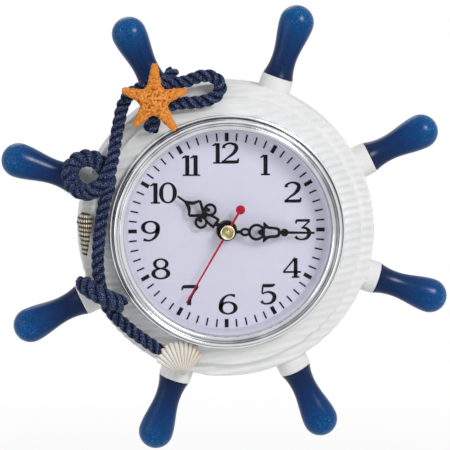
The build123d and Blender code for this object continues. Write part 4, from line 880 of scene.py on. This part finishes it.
def with_neighbours(places):
    """Places with one more before and after them, which on a closed line come from its other end."""
    closed = (places[0] - places[-1]).length < CLOSED_GAP
    before, after = (places[-2], places[1]) if closed else (places[0], places[-1])
    return [before, *places, after]


def smooth_stroke(stroke):
    """A stroke's places and widths, with smooth ones between them."""
    places = [Vector(place) for place in stroke]
    if len(places) == 2:
        return places
    chain = with_neighbours(places)
    made = []
    for a, b, c, d in zip(chain, chain[1:], chain[2:], chain[3:]):
        made += interpolate_bezier(b, b + (c - a) / 6, c - (d - b) / 6, c, STROKE_STEPS + 1)[:-1]
    return made + [places[-1]]


def stroke_patches(stroke):
    """Corners of the quads along a pen stroke."""
    chain = with_neighbours(smooth_stroke(stroke))
    edges = []
    for before, place, after in zip(chain, chain[1:], chain[2:]):
        run = (after - before).to_2d().normalized()
        across = Vector((-run.y, run.x)) * place.z / 2
        edges.append([place.to_2d() + across, place.to_2d() - across])
    return [[a[0], a[1], b[1], b[0]] for a, b in zip(edges, edges[1:])]


# %% Numerals
NUMERAL_RADIUS = 41.0
NUMERAL_HEIGHT = 11.2
NARROW_ADVANCE = 0.4
WIDE_ADVANCE = 0.86
NUMERAL_WIDTH_SHARE = 1.12
INK_SPREAD = 0.03
NUMERAL_SHIFTS = {
    5: (2.0, 0.5), 6: (0.8, 0.8), 7: (0.8, 0.3), 10: (1.7, 0.2), 11: (1.2, 0.0), 12: (-0.4, 1.0),
}


def numeral_stroke(stroke, x, y):
    """A stroke of a numeral in millimetres, with its foot at a place on the dial."""
    wide = NUMERAL_HEIGHT * NUMERAL_WIDTH_SHARE
    return [
        (x + wide * across, y + NUMERAL_HEIGHT * up, NUMERAL_HEIGHT * (width + INK_SPREAD))
        for across, up, width in stroke
    ]


numerals = []
for hour in range(1, 13):
    x, y = Vector(polar(NUMERAL_RADIUS, 90 - 30 * hour)) + Vector(NUMERAL_SHIFTS.get(hour, (0, 0)))
    figures = str(hour)
    advances = [NARROW_ADVANCE if figure == "1" else WIDE_ADVANCE for figure in figures]
    pen = -sum(advances) / 2
    for figure, advance in zip(figures, advances):
        at = x + NUMERAL_HEIGHT * (pen + advance / 2)
        for stroke in DIGITS[figure]:
            drawn = numeral_stroke(stroke, at, y - NUMERAL_HEIGHT / 2)
            numerals += [film(corners) for corners in stroke_patches(drawn)]
        pen += advance
ink_piece("dial_numerals", numerals)


# %% [markdown]
# Hands and cap
#
# The pierced hands are stamped from thin sheet and lacquered black. Each is drawn with pen strokes like
# the numerals', along the hand and to both sides of it, and the strokes are given the sheet's thickness
# and fused into one piece. The plain seconds hand keeps the frame's shape. The brass cap over the middle
# is turned, with a raised rim.

# %% Pierced hands
HAND_SPREAD = 0.2


def circle(along, across, radius, width, stretch=1.0):
    """A closed stroke of one width round a circle, or an oval that is stretched along the hand."""
    return [
        (along + stretch * radius * cos(turn), across + radius * sin(turn), width) for turn in ROUND_TURNS
    ]


def hub(outer, hole):
    """The round middle of a hand, whose hole stays as it is when the strokes are spread."""
    return circle(0, 0, (outer + hole) / 2, outer - hole - HAND_SPREAD)


def both_sides(strokes):
    """Strokes and their mirror images across the hand."""
    return strokes + [[(along, -across, width) for along, across, width in stroke] for stroke in strokes]


HOUR_HAND = [
    hub(5.2, 2.1),
    [(4.8, 0, 2.0), (7.6, 0, 1.9)],
    [(7.5, -2.9, 1.2), (7.5, 2.9, 1.2)],
    [(13.4, 0, 1.7), (16.8, 0, 1.7)],
    [(26.4, 0, 1.9), (28.2, 0, 1.15), (33.0, 0, 0.95)],
]
HOUR_HAND += both_sides([
    [(7.2, 2.4, 1.25), (9.6, 2.3, 1.25), (12.4, 1.9, 1.25)],
    circle(14.3, 4.15, 2.85, 1.25),
    [(17.2, 4.0, 1.2), (15.6, 3.6, 1.3)],
    circle(15.1, 3.5, 0.45, 0.95),
    [(15.6, 0.3, 1.3), (18.6, 2.7, 1.4), (21.8, 5.0, 1.3)],
    [(21.8, 5.0, 0.9), (23.1, 2.8, 1.5), (24.8, 1.2, 1.8), (27.4, 0.2, 1.2)],
])
MINUTE_HAND = [
    hub(4.4, 1.25),
    [(4.0, 0, 1.7), (7.4, 0, 1.6)],
    circle(9.6, 0, 1.65, 1.2, 1.3),
    circle(15.75, 0, 3.85, 1.3),
    [(16.4, 0, 0.6), (17.6, 0, 2.9), (19.6, 0, 3.6)],
    circle(30.8, 0, 1.0, 2.1),
    [(27.6, 0, 1.8), (29.4, 0, 1.6)],
    [(32.4, 0, 1.25), (47.0, 0, 0.95)],
]
MINUTE_HAND += both_sides([
    [(19.5, 5.5, 0.5), (20.4, 3.6, 1.9), (22.4, 2.55, 1.4), (26.0, 2.2, 1.4),
     (27.6, 1.4, 1.5), (28.0, 0, 1.5)],
    [(19.6, 1.4, 1.3), (20.2, 3.4, 1.6)],
])

# %% Stamp the hands
LACQUER_RELIEF = 0.006 * MM

black_lacquer = speckled(
    "black_lacquer", (0.004, 0.004, 0.005), (0.010, 0.010, 0.012), 1200, 0.4,
    relief=LACQUER_RELIEF, specular=0.12,
)
red_lacquer = speckled(
    "red_lacquer", (0.36, 0.008, 0.03), (0.52, 0.012, 0.045), 1200, 0.35,
    relief=LACQUER_RELIEF, specular=0.15,
)


def stamp_hand(name, strokes, body, bearing):
    """Cut a hand from sheet in the place of the frame's hand, and fuse its strokes."""
    low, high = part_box(name)
    out, aside = Vector(polar(1, bearing)), Vector(polar(1, bearing + 90))
    patches = []
    for stroke in strokes:
        spread = [(along, across, width + HAND_SPREAD) for along, across, width in stroke]
        for corners in stroke_patches(spread):
            spots = [out * corner.x + aside * corner.y for corner in corners]
            patches.append([front(spot.x, spot.y, -low.y / MM) for spot in spots])
    hand = remade(sheet_piece(name, patches, high.y - low.y), voxel=0.1 * MM, smoothing=2)
    modified(hand, "DECIMATE", ratio=0.2)
    return settle(hand, name + "_stamped", black_lacquer, replaced=[name], body=body)


stamp_hand("hour_hand", HOUR_HAND, "hour_works", bearing=144.0)
stamp_hand("minute_hand", MINUTE_HAND, "minute_works", bearing=-1.3)
cover(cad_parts["seconds_hand"], red_lacquer)

# %% Cap
CAP_RADIUS = 3.88
SHEEN_COUNT = 2.0

cap_brass, tree, shader = plain("cap_brass", (0.82, 0.75, 0.52), roughness=0.22, metallic=1.0)
reach, bearing = around_axis(tree)
# Painted reflection: two sheen lobes round the cap and dark and light rings by radius, with a bright rim,
# are painted into the brass colour.
sheen = maths("SINE", maths("MULTIPLY", bearing, SHEEN_COUNT))
painted_sheen_lobes = mapped(sheen, low=-1.0, to_low=-0.12, to_high=0.12)
colour_by(shader, maths("ADD", mapped(reach, high=CAP_RADIUS * MM), painted_sheen_lobes), [
    (0.1, (0.62, 0.56, 0.32)),
    (0.4, (0.30, 0.26, 0.11)),
    (0.66, (0.42, 0.37, 0.17)),
    (0.84, (0.86, 0.8, 0.58)),
])
bump(shader, grain(tree, scale=900), distance=0.02 * MM, strength=0.6)
cap_section = [(0, 27.25), (3.7, 27.25), (CAP_RADIUS, 27.4), (CAP_RADIUS, 28.6)]
cap_section += arc((3.45, 28.6), 0.43, 0.55, 0, 150, 8)
cap_section += [(2.75, 28.65), (2.6, 28.3), (1.5, 28.35), (1.3, 28.7), (0.9, 28.9), (0, 29.0)]
cap = dial_turned(cap_section, steps=64)
settle(cap, "cap_turned", cap_brass, smooth=35, replaced=["hand_cap"], body="seconds_works")


# %% [markdown]
# Starfish
#
# A dried starfish has plump tapering arms and a skin of small beads. The frame's solid is remade in fine
# squares and eased until its arms are round. The arms' sides are drawn in and two arms lengthened, and
# beads from cell noise are raised on the skin, with softer knobs. Each point stores its bead's height,
# fainter towards the tips, and the colour follows it.

# %% Starfish shape
STAR_AT = Vector((-40.0 * MM, AXIS_Z + 73.2 * MM))
STAR_ANGLE = radians(89.0)
STAR_ARM = 18.0 * MM
STAR_ARM_COUNT = 5
STAR_WAIST = 0.19
STAR_ARM_STRETCH = (1.09, 1.0, 1.0, 1.0, 1.03)

star = remade(merged_copy("starfish"), voxel=0.3 * MM, smoothing=12)
arm_turn = 2 * pi / STAR_ARM_COUNT
for vertex in star.data.vertices:
    away = Vector((vertex.co.x, vertex.co.z)) - STAR_AT
    number = round((atan2(away.y, away.x) - STAR_ANGLE) / arm_turn)
    arm = number * arm_turn + STAR_ANGLE
    out, across = Vector((cos(arm), sin(arm))), Vector((-sin(arm), cos(arm)))
    along, aside = away.dot(out) * STAR_ARM_STRETCH[number % STAR_ARM_COUNT], away.dot(across)
    aside *= 1 - STAR_WAIST * sin(pi * max(0, min(1, along / STAR_ARM)))
    vertex.co.x, vertex.co.z = STAR_AT + out * along + across * aside

# %% Starfish skin
BEAD_SCALE = 820.0
BEAD_MIDDLE = 0.45
BEAD_RISE = 0.55 * MM
KNOB_SCALE = 240.0
KNOB_RISE = 0.7 * MM
SKIN_TONE = 0.43
TONE_AT_MIDDLE = 1.2
BACK_LIMIT = 0.3
PATCH_SHARE = 0.5

star_skin, tree, shader = plain("starfish_skin", (0.75, 0.25, 0.05), roughness=0.7, specular=0.12)
patch = grain(tree, scale=260, detail=4)
colour_by(shader, maths("MULTIPLY_ADD", patch, PATCH_SHARE, stored(tree, "grain")), [
    (0.3, (0.28, 0.05, 0.01)),
    (0.46, (0.6, 0.16, 0.022)),
    (0.64, (0.78, 0.26, 0.04)),
    (0.9, (0.88, 0.42, 0.11)),
])
bump(shader, grain(tree, scale=2400), distance=0.12 * MM, strength=0.6)

grains = star.data.attributes.new("grain", "FLOAT", "POINT")
places = [(vertex.co.copy(), vertex.normal.copy()) for vertex in star.data.vertices]
for vertex, (place, normal) in zip(star.data.vertices, places):
    bead = BEAD_MIDDLE - noise.voronoi(place * BEAD_SCALE)[0][0]
    knob = max(0, noise.noise(place * KNOB_SCALE))
    away = hypot(place.x - STAR_AT[0], place.z - STAR_AT[1])
    grains.data[vertex.index].value = SKIN_TONE + bead * (TONE_AT_MIDDLE - min(1, away / STAR_ARM))
    if normal.y < BACK_LIMIT:
        vertex.co = place + normal * (BEAD_RISE * bead + KNOB_RISE * knob)
settle(star, "starfish_dried", star_skin, smooth=80, replaced=["starfish"])


# %% [markdown]
# Scallop
#
# The scallop is one fan of rounded ribs that run from the hinge to a wavy rim, crowned in the middle and
# lifted on its left, with sharp grooves between the ribs. A grid is laid out in fan form and raised, so
# that ribs and rim come from one formula, and Solidify adds the wall behind it. Each point stores how deep
# in a groove it lies, and the finish paints shade there by turning dark brown in the grooves.

# %% Scallop finish
MOTTLE_SHARE = 0.3

scallop_skin, tree, shader = plain("scallop_skin", (0.83, 0.77, 0.68), roughness=0.45, specular=0.4)
across = place_parts(tree)["X"]
mottle = grain(tree, scale=240)
tint = maths("MULTIPLY_ADD", mottle, MOTTLE_SHARE, mapped(across, low=-26 * MM, high=-11 * MM))
tone = ramp(tint, [
    (0.1, (0.80, 0.77, 0.71)),
    (0.6, (0.82, 0.76, 0.66)),
    (0.846, (0.86, 0.68, 0.52)),
])
# Painted shade: the finish turns dark brown deep in the grooves between the ribs.
depth = mapped(stored(tree, "groove"), low=0.4, high=0.95, to_high=0.7)
feed(shader, "Base Color", blend(depth, tone, (0.24, 0.2, 0.15, 1)))
bump(shader, grain(tree, scale=1800), distance=0.04 * MM, strength=0.5)

# %% Scallop
FAN_PLACE = (-23.8, -78.0)
FAN_RADIUS = 19.6
FAN_ANGLE = 98.0
FAN_SPREAD = 102.0
FAN_SKEW = 0.11
FAN_LEAN = 4.6
FAN_RIBS = 12
FAN_CROWN = 5.4
FAN_CROWN_FLANK_DROP = 0.75
FAN_CROWN_AT_HINGE = 0.35
FAN_CROWN_GROWTH = 3
FAN_CROWN_ROUNDNESS = 0.75
FAN_RIB_RISE = 0.85
FAN_RIB_AT_HINGE = 0.25
FAN_RIB_FLANK_DROP = 0.4
FAN_RIM_SHARE = 0.965
FAN_RIM_DROP = 0.2
FAN_RIM_WAVE = 0.035
FAN_CURVE = 2.4
FAN_HINGE_SHARE = 0.06
FAN_BASE = 26.6
FAN_WALL = 0.9
FAN_ACROSS = 145
FAN_ALONG = 56

deselect()
bpy.ops.mesh.primitive_grid_add(x_subdivisions=FAN_ACROSS, y_subdivisions=FAN_ALONG, size=2)
scallop = bpy.context.object
grooves = scallop.data.attributes.new("groove", "FLOAT", "POINT")
for vertex in scallop.data.vertices:
    side, along = vertex.co.x, (vertex.co.y + 1) / 2
    rib = abs(sin(pi * FAN_RIBS * (side + 1) / 2))
    rim = FAN_RIM_SHARE - FAN_RIM_DROP * abs(side) ** FAN_CURVE + FAN_RIM_WAVE * rib
    reach = FAN_HINGE_SHARE + (1 - FAN_HINGE_SHARE) * along
    reach *= FAN_RADIUS * rim * (1 - FAN_SKEW * side)
    x, y = polar(reach, FAN_ANGLE - side * FAN_SPREAD / 2)
    dome = FAN_CROWN * (1 - along ** FAN_CURVE) ** FAN_CROWN_ROUNDNESS
    dome *= (1 - FAN_CROWN_FLANK_DROP * side ** 2) * min(1, FAN_CROWN_AT_HINGE + FAN_CROWN_GROWTH * along)
    ribbed = FAN_RIB_RISE * rib * (FAN_RIB_AT_HINGE + (1 - FAN_RIB_AT_HINGE) * along)
    ribbed *= 1 - FAN_RIB_FLANK_DROP * abs(side)
    rise = dome + ribbed + FAN_LEAN * max(0, -side) * along
    # How deep in a groove each point lies, for the painted shade in the grooves.
    grooves.data[vertex.index].value = 1 - rib
    vertex.co = front(FAN_PLACE[0] + x, FAN_PLACE[1] + y, FAN_BASE + FAN_WALL + rise)
modified(scallop, "SOLIDIFY", thickness=FAN_WALL * MM, offset=-1)
settle(scallop, "scallop_ribbed", scallop_skin, smooth=60, replaced=["scallop_shell"])


# %% [markdown]
# Turret shell
#
# A turret shell is a cone wound in a spiral, so every whorl bulges between two sutures that climb round
# it. A spun cone gets that bulge from a wave that depends on both height and turn, and fine ribs from a
# second wave round it. Its dark stripes and bands are sine waves in the finish.

# %% Turret shell
TURRET_SLIMMING = 0.93
TURRET_CROWN_SHARE = 0.2
TURRET_TAPER = 0.72
TURRET_WHORLS = 6.5
TURRET_WHORL_SPACING = 0.85
TURRET_RINGS = 130
TURRET_BULGE = 0.11
TURRET_BULGE_GAIN = 1.6
TURRET_BULGE_ROUNDNESS = 0.7
TURRET_RIB = 0.028
TURRET_RIB_COUNT = 16
TURRET_MOST = 1.07

turret_low, turret_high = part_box("spiral_shell")
turret_radius = (turret_high.x - turret_low.x) / 2
turret_middle = (turret_low + turret_high) / 2
turret_length = turret_high.z - turret_low.z
section = []
for i in range(TURRET_RINGS + 1):
    share = i / TURRET_RINGS
    crown = min(1, share / TURRET_CROWN_SHARE)
    below = max(0, share - TURRET_CROWN_SHARE) / (1 - TURRET_CROWN_SHARE)
    reach = turret_radius * TURRET_SLIMMING * (1 - (1 - crown) ** 2) ** 0.5 * (1 - TURRET_TAPER * below)
    height = turret_high.z - turret_length * share
    section.append(Vector((turret_middle.x + reach, turret_middle.y, height)))
section.append(Vector((turret_middle.x, turret_middle.y, turret_low.z)))
turret = turned(section, turret_middle, (0, 0, 1), steps=72)
for vertex in turret.data.vertices:
    share = (turret_high.z - vertex.co.z) / turret_length
    out = Vector((vertex.co.x - turret_middle.x, vertex.co.y - turret_middle.y))
    turn = atan2(out.y, out.x) / (2 * pi)
    winding = TURRET_WHORLS * share ** TURRET_WHORL_SPACING
    bulge = abs(sin(pi * (winding + turn))) ** TURRET_BULGE_ROUNDNESS
    ribs = cos(TURRET_RIB_COUNT * 2 * pi * turn)
    crown = min(1, share / TURRET_CROWN_SHARE)
    grow = 1 - TURRET_BULGE + TURRET_BULGE_GAIN * TURRET_BULGE * bulge * crown + TURRET_RIB * ribs * bulge
    out *= min(grow, TURRET_MOST)
    vertex.co.x, vertex.co.y = turret_middle.x + out.x, turret_middle.y + out.y

# %% Turret finish
STRIPE_COUNT = 20.0
BAND_RATE = 2600.0

turret_skin, tree, shader = plain("turret_skin", (0.66, 0.56, 0.43), roughness=0.5, specular=0.4)
parts = place_parts(tree, turret_middle)
around = maths("ARCTAN2", parts["Y"], parts["X"])
warp = grain(tree, scale=500, detail=2)
stripe = maths("SINE", maths("MULTIPLY_ADD", around, STRIPE_COUNT, warp))
band = maths("SINE", maths("MULTIPLY_ADD", parts["Z"], BAND_RATE, around))
colour_by(shader, mapped(maths("ADD", stripe, band), low=-2.0, high=2.0), [
    (0.3, (0.72, 0.66, 0.52)),
    (0.42, (0.25, 0.2, 0.13)),
    (0.5, (0.015, 0.012, 0.01)),
])
settle(turret, "turret_wound", turret_skin, smooth=70, replaced=["spiral_shell"])


# %% [markdown]
# Back and inside
#
# Behind the dial sit a pressed pan, a rubber gasket and a battery movement in a black moulded case. They
# keep the frame's shapes, and get finishes that suit what each is made of.

# %% Finishes behind the dial
METAL = 1.0


def paint(material, *names):
    """Give frame nodes a finish of their own."""
    for name in names:
        cover(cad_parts[name], material)


paint(speckled("pan_metal", (0.42, 0.43, 0.45), (0.52, 0.53, 0.55), 500, 0.45, 0.6), "dial_pan")
rubber = speckled("gasket_rubber", (0.012, 0.012, 0.012), (0.03, 0.03, 0.03), 900, 0.85)
paint(rubber, "fit_gasket", "bush_washer")
moulding = speckled("case_plastic", (0.010, 0.010, 0.011), (0.026, 0.026, 0.028), 2200, 0.5)
paint(moulding, "movement_front", "movement_back")
gears = speckled("gear_plastic", (0.72, 0.70, 0.62), (0.84, 0.82, 0.74), 1500, 0.4, relief=FINE_RELIEF)
paint(gears, "hour_wheel", "cannon_pinion", "motion_wheel", "setting_knob", "centre_wheel", "third_wheel")
paint(gears, "seconds_wheel", "intermediate_wheel", "rotor")
brass = speckled("nut_brass", (0.58, 0.42, 0.15), (0.74, 0.56, 0.25), 1500, 0.3, METAL, relief=FINE_RELIEF)
paint(brass, "mounting_nut")
paint(speckled("soft_iron", (0.38, 0.38, 0.40), (0.52, 0.52, 0.54), 900, 0.35, METAL), "stator")
paint(speckled("coil_copper", (0.42, 0.14, 0.05), (0.66, 0.28, 0.11), 1800, 0.3, 0.9), "motor_coil")
paint(speckled("board_laminate", (0.02, 0.14, 0.05), (0.035, 0.21, 0.085), 900, 0.4), "circuit_board")
paint(speckled("cell_jacket", (0.09, 0.10, 0.12), (0.13, 0.14, 0.16), 300, 0.28), "battery")
steel = speckled("contact_steel", (0.55, 0.55, 0.56), (0.7, 0.7, 0.7), 1200, 0.28, METAL, relief=FINE_RELIEF)
paint(steel, "battery_contacts")
zinc = speckled("zinc_steel", (0.50, 0.51, 0.52), (0.68, 0.69, 0.70), 420, 0.34, METAL)
paint(zinc, "hanger_plate", "hanger_screws")


# %% [markdown]
# Light and floor
#
# The photograph is a studio cut-out on white. A pale floor lies below the clock, and the world is white
# where the camera, a mirror or glass sees it, and softer as a light. A large lamp at the upper right
# shapes the ridges, a wider one fills the left side and a weak one lights the back. A second lamp in the
# first one's place shows only in gloss, so that the handles get their highlights while the ring keeps its
# tone.

# %% Lamps
KEY_PLACE = Vector((0.6, -0.85, 0.6))
FILL_PLACE = Vector((-1.1, -0.6, 0.1))
RIM_PLACE = Vector((-0.2, 0.8, 0.7))


def lamp(name, place, size, power):
    """A square lamp that faces the clock."""
    data = bpy.data.lights.new(name, "AREA")
    data.size = size
    data.energy = power
    made = placed(name, data)
    made.location = place
    made.rotation_euler = (aim - made.location).to_track_quat("-Z", "Y").to_euler()
    return made


lamp("key", KEY_PLACE, size=0.45, power=7.1)
lamp("fill", FILL_PLACE, size=0.9, power=3.4)
glint = lamp("glint", KEY_PLACE, size=0.3, power=9.0)
glint.visible_diffuse = False
lamp("rim", RIM_PLACE, size=0.6, power=2.0)

# %% Floor and world
FLOOR_DROP = 60 * MM
FLOOR_SHADE_REACH = 0.1
FLOOR_WHITE_REACH = 0.45
FLOOR_WHITE_NEAR = 0.8
WORLD_LIGHT = 0.4


def seen_share(tree):
    """1 where the camera, a mirror or glass sees the surface, and 0 where it only gives light."""
    path = node(tree, "LightPath").outputs
    direct = maths("MAXIMUM", path["Is Camera Ray"], path["Is Glossy Ray"])
    return maths("MAXIMUM", direct, path["Is Transmission Ray"])


deselect()
bpy.ops.mesh.primitive_plane_add(size=6.0, location=(0, 0, cad_box[0].z - FLOOR_DROP))
floor = bpy.context.object
floor.name = "floor"
floor_paint, tree, shader = plain("floor_paint", (0.86, 0.86, 0.86), roughness=0.9, specular=0.1)
far = node(tree, "VectorMath", {"operation": "LENGTH"}, in0=own_place(tree)).outputs["Value"]
fade = mapped(far, FLOOR_SHADE_REACH, FLOOR_WHITE_REACH, to_low=FLOOR_WHITE_NEAR)
white = node(tree, "Emission", Color=(1, 1, 1, 1), Strength=1.0).outputs[0]
share = maths("MULTIPLY", seen_share(tree), fade)
mixed = node(tree, "MixShader", Fac=share, in1=shader.outputs[0], in2=white)
feed(tree.nodes["Material Output"], "Surface", mixed.outputs[0])
floor.data.materials.append(floor_paint)

world = bpy.data.worlds.new("studio")
bpy.context.scene.world = world
world.use_nodes = True
sky = world.node_tree.nodes["Background"]
feed(sky, "Color", (1, 1, 1, 1))
feed(sky, "Strength", mapped(seen_share(world.node_tree), to_low=WORLD_LIGHT))
bpy.context.scene.view_settings.view_transform = "Standard"
